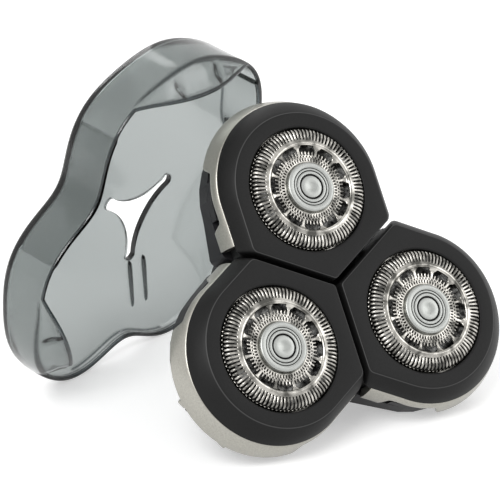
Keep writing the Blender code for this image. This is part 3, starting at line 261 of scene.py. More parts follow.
def plastic(name, colour, roughness, grain_mm, grain_depth, gloss=0.5, coat=0.0, metallic=0.0, painted_highlight=None):
    """Moulded plastic: one colour with a faint mottle, and a spark-eroded grain as bump. Where it has a
    painted highlight colour, a piece's attribute named crease says how much of it shows: a painted
    highlight along a crease. A Mix node's colours are its inputs 6 and 7 and its output 2."""
    material = bpy.data.materials.new(name)
    material.use_nodes = True
    tree = material.node_tree
    shader = tree.nodes["Principled BSDF"]
    place = add_node(tree, "ShaderNodeTexCoord").outputs["Object"]
    grain = add_node(tree, "ShaderNodeTexNoise", {"Scale": 1.0 / (grain_mm * MM), "Detail": 3.0},
                     {"Vector": place})
    dark, light = ((*(share * channel for channel in linear(colour)), 1.0) for share in MOTTLE)
    tint = add_node(tree, "ShaderNodeMix", {"data_type": "RGBA", 6: dark, 7: light},
                    {0: grain.outputs["Fac"]})
    # Painted highlight: a lighter colour mixed in where the crease attribute is set.
    if painted_highlight:
        crease = add_node(tree, "ShaderNodeAttribute", {"attribute_name": "crease"})
        tint = add_node(tree, "ShaderNodeMix", {"data_type": "RGBA", 7: (*linear(painted_highlight), 1.0)},
                        {0: crease.outputs["Fac"], 6: tint.outputs[2]})
    tree.links.new(tint.outputs[2], shader.inputs["Base Color"])
    bump = add_node(tree, "ShaderNodeBump", {"Strength": grain_depth, "Distance": GRAIN_RELIEF * MM},
                    {"Height": grain.outputs["Fac"]})
    tree.links.new(bump.outputs[0], shader.inputs["Normal"])
    shader.inputs["Roughness"].default_value = roughness
    shader.inputs["Metallic"].default_value = metallic
    shader.inputs["Specular IOR Level"].default_value = gloss
    shader.inputs["Coat Weight"].default_value = coat
    return material


def lobe_outline(half_width, inset, reach):
    """A lobe from its face: arcs at hub and side corners, straight sides, and a round end whose
    radius is half_width + reach cos(turn). Gives points as (count, 2)."""
    hub = -CUTTER_CIRCLE + inset / math.sin(SEAM)
    turns = np.radians(np.linspace(180.0, 150.0, 5))
    hub_u = hub + HUB_R / math.sin(SEAM)
    hub_arc = np.stack([hub_u + HUB_R * np.cos(turns), HUB_R * np.sin(turns)], 1)
    corner_v = half_width - SIDE_R
    corner_u = hub + SIDE_R / math.sin(SEAM) + corner_v / math.tan(SEAM)
    turns = np.radians(np.linspace(150.0, 90.0, 9))
    corner = np.stack([corner_u + SIDE_R * np.cos(turns), corner_v + SIDE_R * np.sin(turns)], 1)
    along = np.linspace(0.0, 1.0, 16)[1:-1, None]
    seam_side = hub_arc[-1] + (corner[0] - hub_arc[-1]) * along
    outer_side = corner[-1] + (np.array([0.0, half_width]) - corner[-1]) * along[::2]
    turns = np.radians(np.linspace(90.0, 0.0, 37))
    radius = half_width + reach * np.cos(turns)
    end = np.stack([radius * np.cos(turns), radius * np.sin(turns)], 1)
    half = np.concatenate([hub_arc, seam_side, corner, outer_side, end])
    return np.concatenate([half, (half * (1, -1))[-2:0:-1]])


def flat_ring(outline, z):
    """An outline of (count, 2) at a height, as (count, 3)."""
    return np.concatenate([outline, np.full((len(outline), 1), z)], 1)


def hole_ring(like, radius, z):
    """A circle whose points stand in the same directions as an outline's."""
    away = np.arctan2(like[:, 1], like[:, 0])
    return flat_ring(radius * np.stack([np.cos(away), np.sin(away)], 1), z)


def cover_points():
    """Rings from the hole's lip over plate, crease and bevel, down the skirt and back under it. A ring
    of the lip is a growth in radius and a height, and one further out a half width, an inset from the
    seam, a reach at the tip and a height."""
    edge = lobe_outline(CREASE_HALF_WIDTH, HALF_SEAM + 0.4, 0.0)
    crease, full = CREASE_HALF_WIDTH, PLATE_HALF_WIDTH + BEVEL_WIDTH
    lip = ((0.0, COVER_UNDER), (0.0, -0.45), (0.1, -0.15), (0.3, -0.02), (0.5, 0.0))
    further_out = (
        (crease - 0.35, 0.6, 0.0, 0.0),
        (crease - 0.12, 0.38, 0.0, -0.01),
        (crease, 0.28, 0.0, -0.06),
        (crease + 0.12, 0.18, 0.04, -0.16),
        (crease + 0.55, 0.04, 0.2, -0.62),
        (crease + 1.2, 0.0, 0.5, -1.5),
        (crease + 1.7, 0.0, 0.76, -2.3),
        (PLATE_HALF_WIDTH + 0.98, 0.0, 0.93, -BEVEL_DEPTH + 0.3),
        (full, 0.0, TIP_REACH, -BEVEL_DEPTH + 0.05),
        (full - 0.1, 0.0, TIP_REACH, -BEVEL_DEPTH - 0.08),
        (SKIRT_HALF_WIDTH, 0.0, TIP_REACH, -BEVEL_DEPTH - 0.1),
        (SKIRT_HALF_WIDTH, 0.0, TIP_REACH, -SKIRT_DEPTH),
        (SKIRT_HALF_WIDTH - SKIRT_WALL, SKIRT_WALL, 0.0, -SKIRT_DEPTH),
        (SKIRT_HALF_WIDTH - SKIRT_WALL, SKIRT_WALL, 0.0, COVER_UNDER),
    )
    rings = [hole_ring(edge, HOLE_R + growth, z) for growth, z in lip]
    rings += [flat_ring(lobe_outline(half_width, HALF_SEAM + inset, reach), z)
              for half_width, inset, reach, z in further_out]
    return np.stack(rings)


# Black ABS for the covers, with a lighter colour painted on the ring at the crease between plate and bevel: a
# painted highlight.
black_abs = plastic("black_satin_abs", "#161616", 0.45, 0.4, 0.5, gloss=0.18, painted_highlight="#484848")
points = cover_points()
crease = np.zeros(points.shape[:2])
crease[CREASE_RING] = 1.0
for number in LOBES:
    mesh = placed_mesh(f"cover_{number}_plate", points, grid_faces(*points.shape[:2], close_rows=True),
                       *lobe_frame(number))
    mesh.attributes.new("crease", "FLOAT", "POINT").data.foreach_set("value", crease.ravel().astype(np.float32))
    finish_piece(f"cover_{number}_plate", mesh, black_abs, f"cover_{number}", [f"cover_{number}"])


# Rims. A band of ABS round each cover, metallised and lacquered in warm silver, which gives a soft
# broad shine. It flares out towards its lower edge, which is cut up into a finger notch on each side.
RIM_TOP = 3.45
RIM_BOTTOM = 8.0
RIM_FLARE = 0.8
RIM_TIP_FLARE = 0.8
RIM_BULGE = 0.22
RIM_GAP = 0.3
NOTCH_START = 3.8
NOTCH_LENGTH = 12.6
NOTCH_RAMP = 1.6
NOTCH_HEIGHT = 2.5
RIM_STEPS = 81
RIM_OUTER = PLATE_HALF_WIDTH + BEVEL_WIDTH
HINGE_U = PLATE_HALF_WIDTH + 0.8
HINGE_Z = -RIM_BOTTOM - 1.7
HINGE_ROOT = 0.4
KNUCKLE_R = 1.3
EAR_INNER = 0.1
EAR_OUTER = 0.9
EAR_START = 4.5
EAR_WIDTH = 1.7
EAR_EDGE = 0.15
EAR_END = 0.88


def rim_points():
    """Sections carried along the band: distance along it gives the place on the straight side or on
    the round end, and how far the notch raises the lower edge, with slopes of 3 s^2 - 2 s^3. The
    section is a closed rounded strip."""
    straight = CUTTER_CIRCLE - HALF_SEAM / math.sin(SEAM) - RIM_OUTER / math.tan(SEAM) - SIDE_R
    along = np.linspace(0.0, straight + RIM_OUTER * math.pi / 2, RIM_STEPS)
    u_start = np.minimum(along - straight, 0.0)
    turn = math.pi / 2 - np.maximum(along - straight, 0.0) / RIM_OUTER
    lift = NOTCH_HEIGHT * np.clip(np.minimum(along - NOTCH_START, NOTCH_START + NOTCH_LENGTH - along)
                                  / NOTCH_RAMP, 0.0, 1.0)
    lift = lift * lift * (3 * NOTCH_HEIGHT - 2 * lift) / NOTCH_HEIGHT ** 2
    u_start = np.concatenate([u_start, u_start[-2::-1]])
    turn = np.concatenate([turn, -turn[-2::-1]])
    lift = np.concatenate([lift, lift[-2::-1]])
    inner = SKIRT_HALF_WIDTH + RIM_GAP
    depth = np.array([0.0, 0.0, 0.04, 0.12, 0.3, 0.5, 0.7, 0.88, 0.96, 1.0, 1.0])
    shares = np.array([0.0, 0.86, 0.97, 1.0, 1.0, 1.0, 1.0, 1.0, 0.97, 0.84, 0.0])
    bulge = RIM_BULGE * np.sin(np.pi * depth)
    height = RIM_BOTTOM - lift[:, None] - RIM_TOP
    z = -RIM_TOP - depth * height
    fraction = (-z - RIM_TOP) / (RIM_BOTTOM - RIM_TOP)
    radius = inner + (RIM_OUTER + RIM_FLARE * fraction + bulge - inner) * shares
    radius = radius + (TIP_REACH + RIM_TIP_FLARE * fraction * shares) * np.cos(turn)[:, None]
    u = u_start[:, None] + radius * np.cos(turn)[:, None]
    v = radius * np.sin(turn)[:, None]
    return np.stack([u, v, z], -1)


def ear_points(side):
    """An outline of flat root and round end, carried across from one side of the ear to the other,
    a little smaller at both ends."""
    root = -RIM_BOTTOM + 2 * HINGE_ROOT
    turns = np.radians(np.linspace(30.0, -180.0, 15))
    outline = np.concatenate([
        [(HINGE_U - EAR_INNER, root), (HINGE_U + EAR_OUTER, root)],
        np.stack([HINGE_U + KNUCKLE_R * np.cos(turns), HINGE_Z + KNUCKLE_R * np.sin(turns)], 1)])
    middle = outline.mean(0)
    across = np.array([0.0, EAR_EDGE, EAR_WIDTH - EAR_EDGE, EAR_WIDTH])
    shares = np.array([EAR_END, 1.0, 1.0, EAR_END])
    section = middle + (outline - middle) * shares[:, None, None]
    v = np.broadcast_to(side * (EAR_START + across)[:, None], section.shape[:2])
    return np.stack([section[..., 0], v, section[..., 1]], -1)


silver = plastic("warm_silver_lacquer", "#A6A49C", 0.36, 0.3, 0.25, coat=0.2, metallic=0.75)
for part, points in (("band", rim_points()), ("ear_left", ear_points(-1)), ("ear_right", ear_points(1))):
    faces = tube_faces(*points.shape[:2])
    for number in LOBES:
        mesh = placed_mesh(f"rim_{number}_{part}", points, faces, *lobe_frame(number))
        finish_piece(f"rim_{number}_{part}", mesh, silver, f"cover_{number}", [f"rim_{number}"],
                     50.0)


# Guards. Each is stamped and ground from thin stainless steel: bright, with 90 fine slots over its
# shoulder, a smooth ring, 12 windows with small comb teeth and a ring of tiny holes.
GUARD_STEPS = 360
GUARD_WALL = 0.3
SLOT_RADII, SLOT_PITCH, SLOT_WIDTH = (9.6, 12.09), 4, 2
SLOT_LOWEST = -0.3
WINDOW_RADII, WINDOW_PITCH, WINDOW_MIDDLE, WINDOW_HALF = (7.35, 8.4), 30, 14.5, 12.6
WINDOW_CORNER_START, WINDOW_CORNER_SPAN, WINDOW_CORNER_CUT = 7.6, 0.8, 4.5
COMB_RADII, COMB_PITCH, COMB_START, COMB_GAP = (6.6, 7.35), 6, 13, 4
HOLE_RADII, DOT_RADII, HOLE_PITCH, HOLE_WIDTH = (5.3, 6.0), (6.1, 6.45), 6, 3
guard_profile = np.array([
    (4.9, 0.85), (5.25, 0.85), (5.35, 0.85), (5.55, 0.85), (5.75, 0.85), (5.98, 0.85), (6.12, 0.85),
    (6.28, 0.85), (6.43, 0.85), (6.58, 0.85), (6.85, 0.85), (7.1, 0.85), (7.35, 0.85), (7.6, 0.85),
    (7.8, 0.86), (8.05, 0.88),
    (8.25, 0.93), (8.4, 1.05), (8.5, 1.2), (8.62, 1.3), (8.8, 1.35), (9.0, 1.35), (9.2, 1.3), (9.4, 1.2),
    (9.6, 1.16), (10.1, 1.16), (10.6, 1.13), (11.1, 1.02), (11.5, 0.82), (11.8, 0.52), (11.98, 0.15),
    (12.08, -0.25), (12.1, -0.6), (12.1, -1.9), (12.95, -1.95), (12.95, -2.35),
])


def between(values, limits):
    """True where a value lies between two limits."""
    return (values > limits[0]) & (values < limits[1])


def guard_open_cells():
    """True where the sheet is cut through: every slot, window, comb gap and hole, by row and column.
    A column is one degree. A thin solid ring stays between the holes and the dots, and another
    carries the comb's teeth. A window's corners are cut off by its corner cut times s^2."""
    column = np.arange(GUARD_STEPS)
    radius = (guard_profile[:-1, 0] + guard_profile[1:, 0])[:, None] / 2
    slots = between(radius, SLOT_RADII) & (guard_profile[1:, 1, None] > SLOT_LOWEST)
    slots = slots & (column % SLOT_PITCH < SLOT_WIDTH)
    place = column % WINDOW_PITCH
    from_middle = np.abs(place - WINDOW_MIDDLE)
    corner = np.clip((radius - WINDOW_CORNER_START) / WINDOW_CORNER_SPAN, 0.0, 1.0)
    windows = between(radius, WINDOW_RADII) & (from_middle < WINDOW_HALF - WINDOW_CORNER_CUT * corner ** 2)
    comb = between(radius, COMB_RADII) & (from_middle < WINDOW_HALF)
    comb = comb & ((place - COMB_START) % COMB_PITCH < COMB_GAP)
    holes = between(radius, HOLE_RADII) & (column % HOLE_PITCH < HOLE_WIDTH)
    dots = between(radius, DOT_RADII) & ((column + HOLE_PITCH // 2) % HOLE_PITCH < HOLE_WIDTH)
    return slots | windows | comb | holes | dots


def turned(profile, steps):
    """A profile of radius and height turned round the cutter's axis."""
    around = 2 * np.pi * np.arange(steps) / steps
    radius, height = profile[:, :1], profile[:, 1:]
    return np.stack([radius * np.cos(around), radius * np.sin(around), height + 0 * around], -1)


STREAK_SPREAD = (0.36, 0.64)
GRINDING_SCALE = 900.0
STEEL_RELIEF = 0.01


def polished_steel(name, pale, dark, streak_mm, roughness):
    """Polished stainless steel: pale and dark streaks stand for what such a mirror shows, which goes
    from white lamps to a dark room within a millimetre or two, with fine grinding marks as bump."""
    material = bpy.data.materials.new(name)
    material.use_nodes = True
    tree = material.node_tree
    shader = tree.nodes["Principled BSDF"]
    place = add_node(tree, "ShaderNodeTexCoord").outputs["Object"]
    streak = add_node(tree, "ShaderNodeTexNoise", {"Scale": 1.0 / (streak_mm * MM), "Detail": 2.0},
                      {"Vector": place})
    spread = add_node(tree, "ShaderNodeMapRange",
                      {"From Min": STREAK_SPREAD[0], "From Max": STREAK_SPREAD[1]},
                      {"Value": streak.outputs["Fac"]})
    tint = add_node(tree, "ShaderNodeMix",
                    {"data_type": "RGBA", 6: (*linear(dark), 1.0), 7: (*linear(pale), 1.0)},
                    {0: spread.outputs[0]})
    tree.links.new(tint.outputs[2], shader.inputs["Base Color"])
    marks = add_node(tree, "ShaderNodeTexNoise", {"Scale": GRINDING_SCALE, "Detail": 4.0},
                     {"Vector": place})
    bump = add_node(tree, "ShaderNodeBump", {"Strength": 0.3, "Distance": STEEL_RELIEF * MM},
                    {"Height": marks.outputs["Fac"]})
    tree.links.new(bump.outputs[0], shader.inputs["Normal"])
    shader.inputs["Roughness"].default_value = roughness
    shader.inputs["Metallic"].default_value = 1.0
    return material


guard_steel = polished_steel("polished_stainless", "#C9C6BF", "#5A5955", 2.2, 0.2)
points = turned(guard_profile, GUARD_STEPS)
faces = grid_faces(*points.shape[:2])[~guard_open_cells().ravel()]
for number in LOBES:
    mesh = placed_mesh(f"guard_{number}_sheet", points, faces, *lobe_frame(number))
    piece = finish_piece(f"guard_{number}_sheet", mesh, guard_steel, f"guard_{number}", [f"guard_{number}"])
    wall = piece.modifiers.new("sheet", "SOLIDIFY")
    wall.thickness = GUARD_WALL * MM
    wall.offset = -1.0


# Guard discs. A turned plug of satin steel in the middle of each guard, with three fine grooves,
# painted dark inside as painted shade, and a shallow dimple at its centre.
DISC_STEPS = 96
GROOVE_RADII, GROOVE_HEIGHT = (1.5, 4.0), 1.52
TURNING_SCALE = 1400.0
disc_profile = np.array([
    (5.2, 0.3), (5.2, 0.6), (4.9, 0.62), (4.88, 1.3), (4.82, 1.55), (4.68, 1.66), (4.5, 1.69), (3.86, 1.69),
    (3.8, 1.66), (3.76, 1.5), (3.66, 1.5), (3.62, 1.66), (3.56, 1.69), (3.34, 1.69), (3.28, 1.66), (3.24, 1.48),
    (3.1, 1.48), (3.06, 1.66), (3.0, 1.69), (2.62, 1.69), (2.54, 1.66), (2.48, 1.45), (2.2, 1.45), (2.14, 1.62),
    (2.04, 1.66), (1.1, 1.66), (0.9, 1.6), (0.5, 1.52), (0.02, 1.5),
])


def satin_steel_finish(name, colour, groove_shade_colour):
    """Turned satin steel, with painted shade at the bottom of its grooves, and fine circular turning marks."""
    material = bpy.data.materials.new(name)
    material.use_nodes = True
    tree = material.node_tree
    shader = tree.nodes["Principled BSDF"]
    place = add_node(tree, "ShaderNodeTexCoord").outputs["Object"]
    marks = add_node(tree, "ShaderNodeTexNoise", {"Scale": TURNING_SCALE, "Detail": 3.0}, {"Vector": place})
    bump = add_node(tree, "ShaderNodeBump", {"Strength": 0.35, "Distance": STEEL_RELIEF * MM},
                    {"Height": marks.outputs["Fac"]})
    tree.links.new(bump.outputs[0], shader.inputs["Normal"])
    # Painted shade: the groove attribute mixes in the dark groove colour.
    groove_shade = add_node(tree, "ShaderNodeAttribute", {"attribute_name": "groove"})
    tint = add_node(tree, "ShaderNodeMix", {"data_type": "RGBA"}, {0: groove_shade.outputs["Fac"]})
    tint.inputs[6].default_value = (*linear(colour), 1.0)
    tint.inputs[7].default_value = (*linear(groove_shade_colour), 1.0)
    tree.links.new(tint.outputs[2], shader.inputs["Base Color"])
    shader.inputs["Metallic"].default_value = 1.0
    shader.inputs["Roughness"].default_value = 0.42
    return material


satin = satin_steel_finish("turned_satin_steel", "#A3A5A2", "#1C1C1C")
points = turned(disc_profile, DISC_STEPS)
faces = tube_faces(*points.shape[:2])
# Points in the grooves take the painted shade colour.
in_groove = between(disc_profile[:, 0], GROOVE_RADII) & (disc_profile[:, 1] < GROOVE_HEIGHT)
depth = np.repeat(in_groove, DISC_STEPS)
for number in LOBES:
    mesh = placed_mesh(f"guard_disc_{number}_plug", points, faces, *lobe_frame(number))
    groove = mesh.attributes.new("groove", "FLOAT", "POINT")
    groove.data.foreach_set("value", depth.astype(np.float32))
    finish_piece(f"guard_disc_{number}_plug", mesh, satin, f"guard_{number}", [f"guard_disc_{number}"])


# Springs. A coil of round steel wire stands in each gear's cup and pushes its spindle up against the
# cutter.
SPRING_WIRE_R = 0.25
SPRING_R = 2.35
SPRING_TURNS = 3.5
SPRING_LOW = -17.1
SPRING_HIGH = -12.9
COIL_STEPS = 24
WIRE_SIDES = 8


def spring_points():
    """A circle carried along a helix: round the axis by turn, and up evenly from low to high."""
    share = np.linspace(0.0, 1.0, int(SPRING_TURNS * COIL_STEPS) + 1)[:, None]
    turn = 2 * np.pi * SPRING_TURNS * share
    side = 2 * np.pi * np.arange(WIRE_SIDES) / WIRE_SIDES
    radius = SPRING_R + SPRING_WIRE_R * np.cos(side)
    rise = SPRING_LOW + SPRING_WIRE_R + (SPRING_HIGH - SPRING_LOW - 2 * SPRING_WIRE_R) * share
    return np.stack([radius * np.cos(turn), radius * np.sin(turn), rise + SPRING_WIRE_R * np.sin(side)], -1)


inner_steel = polished_steel("cutter_steel", "#7A7A78", "#262626", 0.8, 0.35)
points = spring_points()
faces = tube_faces(*points.shape[:2])
for number in LOBES:
    centre, axes = lobe_frame(number)
    mesh = placed_mesh(f"spring_{number}_coil", points, faces, centre, axes)
    coil = finish_piece(f"spring_{number}_coil", mesh, inner_steel, f"gear_{number}", [f"spring_{number}"])
    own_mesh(coil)


# Protective cap. Clear smoked plastic, moulded in one piece: a panel with a star-shaped hole and a
# wall that follows the head's three lobes. It looks grey through its panel and nearly black edge on.
CAP_LOBES = np.array([90.0, 210.0, 330.0])
CAP_HALF_LOBE = 60.0
CAP_TIP_R = 38.3
CAP_VALLEY_R = 28.7
CAP_SIXTH = -1.55
CAP_NINTH = 0.6
PANEL_WALL = 1.2
TAB_WALL = 0.9
VALLEY_WALL = 1.5
VALLEY_SPAN = 23.0
VALLEY_BLEND = 1.2
# Shares of painted shade for the valleys, the low part of the wall and the corner: how much of the dark edge
# colour is painted there.
VALLEY_SHADE = 0.08
LOW_SHADE = 0.5
CORNER_R = 1.3
CORNER_SHADE = 0.15
INNER_CORNER_R = 0.6
CAP_BEND_HEIGHT = 10.1
CAP_LIP = 0.7
EDGE_BAND = 0.55
TOP_SHARE = 0.85
THIN_SHARE = 0.8
LIP_ROUND = ((0.0, 0.25), (0.12, 0.05), (0.3, 0.0))
# Painted shade along the free edge, down to this depth below it.
LIP_SHADE_DEPTH = 0.5
LIP_SHADE = 0.9
CAP_TAB_RISE = 4.7
CAP_TAB_ANGLE = 27.0
CAP_TAB_LEAN = 51.0
CAP_LOW_ANGLE = 270.0
CAP_LOW_SPAN = 52.5
CAP_LOW_RAMP = 7.5
CAP_LOW_HEIGHT = 3.0
CAP_SLOPE_SPAN = 80.0
CAP_SLOPE = 0.105
STAR_ARC_CENTRE = 16.8
STAR_ARC_R = 13.35
STAR_ARM_ANGLE = 52.3
STAR_END_CENTRE = 9.4
STAR_END_R = 1.35
NUB_FROM_LOBE = 9.0
NUB_TURN = 1.4
NUB_AT, NUB_SHARE = 0.46, 0.22
NUB_OUT, NUB_DOWN = 0.75, 0.45
NUB_LEAST_RISE = 2.5
# Share of painted shade at the nubs.
NUB_SHADE = 0.3
CAP_FROM_FACE = (-19.9, 44.9)
CAP_YAW = 18.6
CAP_LEAN = 10.3


def apart(angle, middle):
    """Degrees between directions, whichever way round is shorter."""
    return np.abs((angle - middle + 180.0) % 360.0 - 180.0)


def cap_columns():
    """Directions of the cap's grid: every degree from a lobe's middle to its valleys, and closer at
    the nubs, at the round points of the star and where the wall gets thicker."""
    offsets = [np.arange(-CAP_HALF_LOBE, CAP_HALF_LOBE, 1.0)]
    for nub in (-NUB_FROM_LOBE, NUB_FROM_LOBE):
        offsets.append(nub + np.arange(-2.4, 2.41, 0.3))
    for side in (-1, 1):
        offsets.append(side * np.arange(51.6, CAP_HALF_LOBE, 0.4))
        offsets.append(side * (CAP_HALF_LOBE - VALLEY_SPAN + np.array([-0.6, -0.3, 0.3, 0.6])))
    around = (CAP_LOBES[:, None] + np.concatenate(offsets)) % 360.0
    return np.unique(np.round(around, 3))


def cap_outline(angle):
    """The three-lobed outline: mean + a3 cos 3t + a6 cos 6t + a9 cos 9t."""
    turn = np.radians(angle - 90.0)
    third = (CAP_TIP_R - CAP_VALLEY_R) / 2 - CAP_NINTH
    mean = (CAP_TIP_R + CAP_VALLEY_R) / 2 - CAP_SIXTH
    return mean + third * np.cos(3 * turn) + CAP_SIXTH * np.cos(6 * turn) + CAP_NINTH * np.cos(9 * turn)


def star_outline(away):
    """The star-shaped hole: three arcs that bow inwards at the lobes, and round points between. An arc
    is at c cos a - sqrt(r^2 - (c sin a)^2) and an end at c cos b + sqrt(r^2 - (c sin b)^2), where c is
    the way to its centre, r its radius, a the angle from the lobe and b the angle from the valley."""
    side = STAR_ARC_CENTRE * np.sin(np.radians(away))
    arc = STAR_ARC_CENTRE * np.cos(np.radians(away)) - np.sqrt(np.maximum(STAR_ARC_R ** 2 - side ** 2, 0.0))
    off = np.radians(CAP_HALF_LOBE - away)
    end = STAR_END_CENTRE * np.cos(off) + np.sqrt(
        np.maximum(STAR_END_R ** 2 - (STAR_END_CENTRE * np.sin(off)) ** 2, 0.0))
    return np.where(away < STAR_ARM_ANGLE, arc, end)


def cap_points():
    """Closed section at every direction, from the star's edge out over the panel, round the corner
    and up the wall, over its free edge, and back down the inside. The wall stands straight to its
    bend, and above it a tab rises and leans inwards. Gives the points as (rows, columns, 3), and each
    one's share of painted shade: dark along its edges, where light is caught, in the valleys, on the low
    part of the wall and at the nubs."""
    angle = cap_columns()
    away = np.min([apart(angle, lobe) for lobe in CAP_LOBES], 0)
    from_low = apart(angle, CAP_LOW_ANGLE)
    low = np.clip((CAP_LOW_SPAN - from_low) / CAP_LOW_RAMP, 0.0, 1.0)
    bend = CAP_BEND_HEIGHT - CAP_SLOPE * np.maximum(0.0, CAP_SLOPE_SPAN - from_low)
    bend = bend + (CAP_LOW_HEIGHT - CAP_LIP - bend) * low
    tab = np.cos(np.pi / 2 * np.minimum(away / CAP_TAB_ANGLE, 1.0))
    rise = (CAP_TAB_RISE - CAP_LIP) * tab * (1 - low)
    lean = math.tan(math.radians(CAP_TAB_LEAN))
    outer = cap_outline(angle)
    in_valley = np.clip((away - CAP_HALF_LOBE + VALLEY_SPAN) / VALLEY_BLEND + 0.5, 0.0, 1.0)
    wall = TAB_WALL + (VALLEY_WALL - TAB_WALL) * in_valley * (from_low > CAP_LOW_SPAN)
    star = star_outline(away)
    # Painted shade: darker in the valleys and on the low part of the wall.
    valley_and_low_shade = VALLEY_SHADE * in_valley + LOW_SHADE * low
    crease = np.clip(rise / 0.8, 0.0, 1.0)
    below_edge = np.minimum(CAP_LIP + rise, (CAP_LIP + rise - EDGE_BAND) / TOP_SHARE)
    inner_foot = PANEL_WALL + INNER_CORNER_R

    def leant(share):
        """How far a tab leans in at a share of its height: less than in proportion in its lower half."""
        return rise * share * lean * min(1.0, share + 0.5)

    # Each row's third value is its share of painted shade: along the star's edge, round the corner, along the
    # tab's edges, over the free edge and at the nubs.
    rows = [(star + 0.1, 0.0, 0.7), (star + 0.5, 0.0, 0.0), ((star + outer) / 2, 0.0, 0.0)]
    turns = np.radians([-90.0, -72.0, -54.0, -36.0, -18.0, 0.0])
    for turn, edge in zip(turns, (0.0, 0.3, 0.8, 1.0, 0.8, 0.3)):
        rows.append((outer - CORNER_R + CORNER_R * np.cos(turn), CORNER_R + CORNER_R * np.sin(turn),
                     edge * np.maximum(in_valley, CORNER_SHADE)))
    for share in (0.12, 0.5, 0.75, 0.93):
        rows.append((outer, CORNER_R + (bend - CORNER_R) * share, valley_and_low_shade))
    shares = (0.02, 0.07, 0.13, 0.2, 0.4, 0.55, 0.7, TOP_SHARE)
    for share, edge in zip(shares, (0.9, 1.0, 0.8, 0.1, 0.0, 0.0, 0.05, 0.2)):
        rows.append((outer - leant(share), bend + below_edge * share, edge * crease))
    edge_r, edge_z = outer - rise * lean, bend + CAP_LIP + rise
    thin = wall * THIN_SHARE
    rows.append((edge_r, edge_z - LIP_SHADE_DEPTH, LIP_SHADE))
    rows += [(edge_r - back, edge_z - down, 1.0) for back, down in LIP_ROUND]
    rows += [(edge_r - thin + back, edge_z - down, 1.0) for back, down in reversed(LIP_ROUND)]
    rows.append((edge_r - thin, edge_z - LIP_SHADE_DEPTH, LIP_SHADE))
    for share in (TOP_SHARE, 0.7, 0.62, 0.54, 0.46, 0.38, 0.3, 0.22, 0.12, 0.04):
        nub = np.exp(-((apart(away, NUB_FROM_LOBE) / NUB_TURN) ** 2) - ((share - NUB_AT) / NUB_SHARE) ** 2)
        nub = nub * (rise > NUB_LEAST_RISE)
        rows.append((outer - wall - leant(share) - NUB_OUT * nub,
                     bend + below_edge * share - NUB_DOWN * nub, NUB_SHADE * nub))
    for share in (0.93, 0.6, 0.3):
        rows.append((outer - wall, inner_foot + (bend - PANEL_WALL - INNER_CORNER_R) * share, valley_and_low_shade))
    for turn in np.radians([0.0, -30.0, -60.0, -90.0]):
        rows.append((outer - wall - INNER_CORNER_R + INNER_CORNER_R * np.cos(turn),
                     inner_foot + INNER_CORNER_R * np.sin(turn), 0.0))
    rows += [((star + outer) / 2, PANEL_WALL, 0.0), (star + 0.5, PANEL_WALL, 0.0)]
    rows += [(star + 0.1, PANEL_WALL, 0.8), (star, PANEL_WALL - 0.1, 1.0), (star, 0.1, 1.0)]
    radius, height, edge = (np.array([np.broadcast_to(row[k], angle.shape) for row in rows])
                            for k in range(3))
    turn = np.radians(angle)
    return np.stack([radius * np.cos(turn), radius * np.sin(turn), height], -1), edge


def cap_stance(points):
    """The cap's place and directions: leant back, turned a little, its lowest point on the floor."""
    axes = np.array(Matrix.Rotation(math.radians(CAP_YAW), 3, "Z")
                    @ Matrix.Rotation(math.radians(90.0 + CAP_LEAN), 3, "X"))
    centre = face_centre + np.array([*CAP_FROM_FACE, 0.0]) * MM
    centre[2] = -np.min(points.reshape(-1, 3) @ axes[2]) * MM
    return centre, axes


CLEAR = (0.97, 0.98, 0.98, 1.0)
HAZE_SCALE = 110.0
HAZE_ROUGHNESS = (0.03, 0.17)
CLEAR_IOR = 1.49


def clear_smoke(name, edge_shade_colour, colour, density):
    """Clear tinted plastic: smooth, softly uneven in gloss, painted darker along its edges as painted shade,
    with an absorption that darkens with the way through it. CLEAR is the share of light that its surface
    lets through, so it is linear as it stands."""
    material = bpy.data.materials.new(name)
    material.use_nodes = True
    tree = material.node_tree
    shader = tree.nodes["Principled BSDF"]
    edge = add_node(tree, "ShaderNodeAttribute", {"attribute_name": "edge"})
    # Painted shade: the edge attribute mixes in the dark edge colour.
    tint = add_node(tree, "ShaderNodeMix",
                    {"data_type": "RGBA", 6: CLEAR, 7: (*linear(edge_shade_colour), 1.0)},
                    {0: edge.outputs["Fac"]})
    tree.links.new(tint.outputs[2], shader.inputs["Base Color"])
    place = add_node(tree, "ShaderNodeTexCoord").outputs["Object"]
    haze = add_node(tree, "ShaderNodeTexNoise", {"Scale": HAZE_SCALE, "Detail": 3.0}, {"Vector": place})
    spread = add_node(tree, "ShaderNodeMapRange",
                      {"To Min": HAZE_ROUGHNESS[0], "To Max": HAZE_ROUGHNESS[1]},
                      {"Value": haze.outputs["Fac"]})
    tree.links.new(spread.outputs[0], shader.inputs["Roughness"])
    shader.inputs["Transmission Weight"].default_value = 1.0
    shader.inputs["IOR"].default_value = CLEAR_IOR
    inside = add_node(tree, "ShaderNodeVolumeAbsorption",
                      {"Color": (*linear(colour), 1.0), "Density": density})
    tree.links.new(inside.outputs[0], tree.nodes["Material Output"].inputs["Volume"])
    return material


def paint_edge_shade(mesh, edge):
    """Stores each point's share of painted shade, the dark edge colour painted along edges, for the plastic's
    colour.
    """
    values = mesh.attributes.new("edge", "FLOAT", "POINT")
    values.data.foreach_set("value", np.ravel(edge).astype(np.float32))


# The dark edge colour is painted shade, painted along the cap's edges, in its valleys, on the low part of the
# wall and at the nubs.
smoke = clear_smoke("smoked_clear_plastic", "#2C3438", "#8E9896", 1000.0)
points, edge = cap_points()
cap_place = cap_stance(points)
mesh = placed_mesh("protective_cap_shell", points, grid_faces(*points.shape[:2], close_rows=True), *cap_place)
paint_edge_shade(mesh, edge)
finish_piece("protective_cap_shell", mesh, smoke, "base", ["protective_cap"], 40.0)


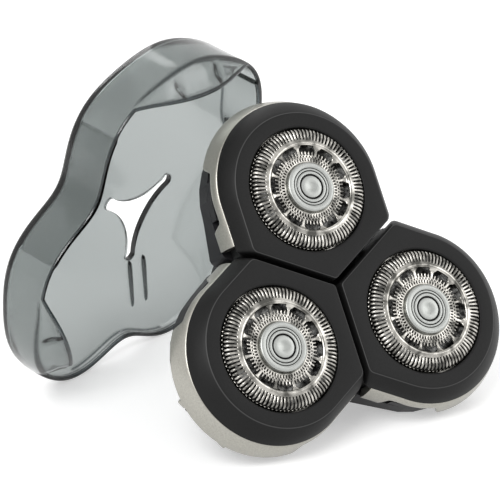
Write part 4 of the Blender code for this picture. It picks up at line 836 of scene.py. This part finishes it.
# Cap ribs. Two thin ribs stand on the inside of the panel, tapered and rounded at their ends, and are
# painted dark all over as painted shade, so that they show as two dark strokes.
RIB_LENGTH = 12.5
RIB_HALF = 0.55
RIB_HEIGHT = 0.7
RIB_TURN = 14.5
RIB_CLEARANCE = 0.01
RIB_SHADE = 0.8
RIBS = {"left": (-3.0, -10.4), "right": (1.0, -11.5)}


def rib_points(x, top):
    """Sections along a rib, s from -1 to 1: its half width goes with sqrt(1 - s^8) and its height with
    sqrt(1 - s^6), which rounds both ends, and its crown is round. It stands just off the panel."""
    along = np.linspace(-1.0, 1.0, 25)
    half = RIB_HALF * (0.75 - 0.25 * along) * np.sqrt(1.0 - np.abs(along) ** 8 * 0.99)
    height = RIB_HEIGHT * np.sqrt(1.0 - np.abs(along) ** 6 * 0.99)
    crown = np.radians(np.linspace(0.0, 180.0, 9))
    across = x + half[:, None] * np.cos(crown)
    up_by = PANEL_WALL + RIB_CLEARANCE + height[:, None] * np.sin(crown) ** 0.6
    y = np.repeat((top - RIB_LENGTH * (along + 1) / 2)[:, None], len(crown), 1)
    cos, sin = math.cos(math.radians(RIB_TURN)), math.sin(math.radians(RIB_TURN))
    return np.stack([across * cos - y * sin, across * sin + y * cos, up_by], -1)


for side, (x, top) in RIBS.items():
    points = rib_points(x, top)
    mesh = placed_mesh(f"protective_cap_rib_{side}", points, tube_faces(*points.shape[:2]), *cap_place)
    # The ribs take the dark edge colour nearly all over: painted shade.
    paint_edge_shade(mesh, np.full(points.shape[:2], RIB_SHADE))
    finish_piece(f"protective_cap_rib_{side}", mesh, smoke, "base", ["protective_cap"], 50.0)


# Chambers, base and inner pieces. Chambers, gear housing, lid and coupling are dark grey ABS, moulded
# with a fine texture that keeps it matt. Gears, spindles and retainers are pale grey acetal, with its
# waxy shine. Cutters and pins are bare steel, seen dark behind the slots, and the screws satin steel.
grey_abs = plastic("dark_grey_abs", "#242426", 0.5, 0.25, 0.4, gloss=0.25)
acetal = plastic("grey_acetal", "#8A8A8C", 0.4, 0.2, 0.1)
looks = {
    **dict.fromkeys(("chamber", "gear_housing", "housing_cover", "coupling_spigot"), grey_abs),
    **dict.fromkeys(("retainer", "spindle", "lobe_gear", "drive_gear"), acetal),
    **dict.fromkeys(("cutter", "hinge_pin", "tilt_pin"), inner_steel),
    "screw": satin,
}
for node_name, node in nodes.items():
    look = looks.get(node_name.rstrip("_0123456789"))
    if look:
        node.data.materials[0] = look
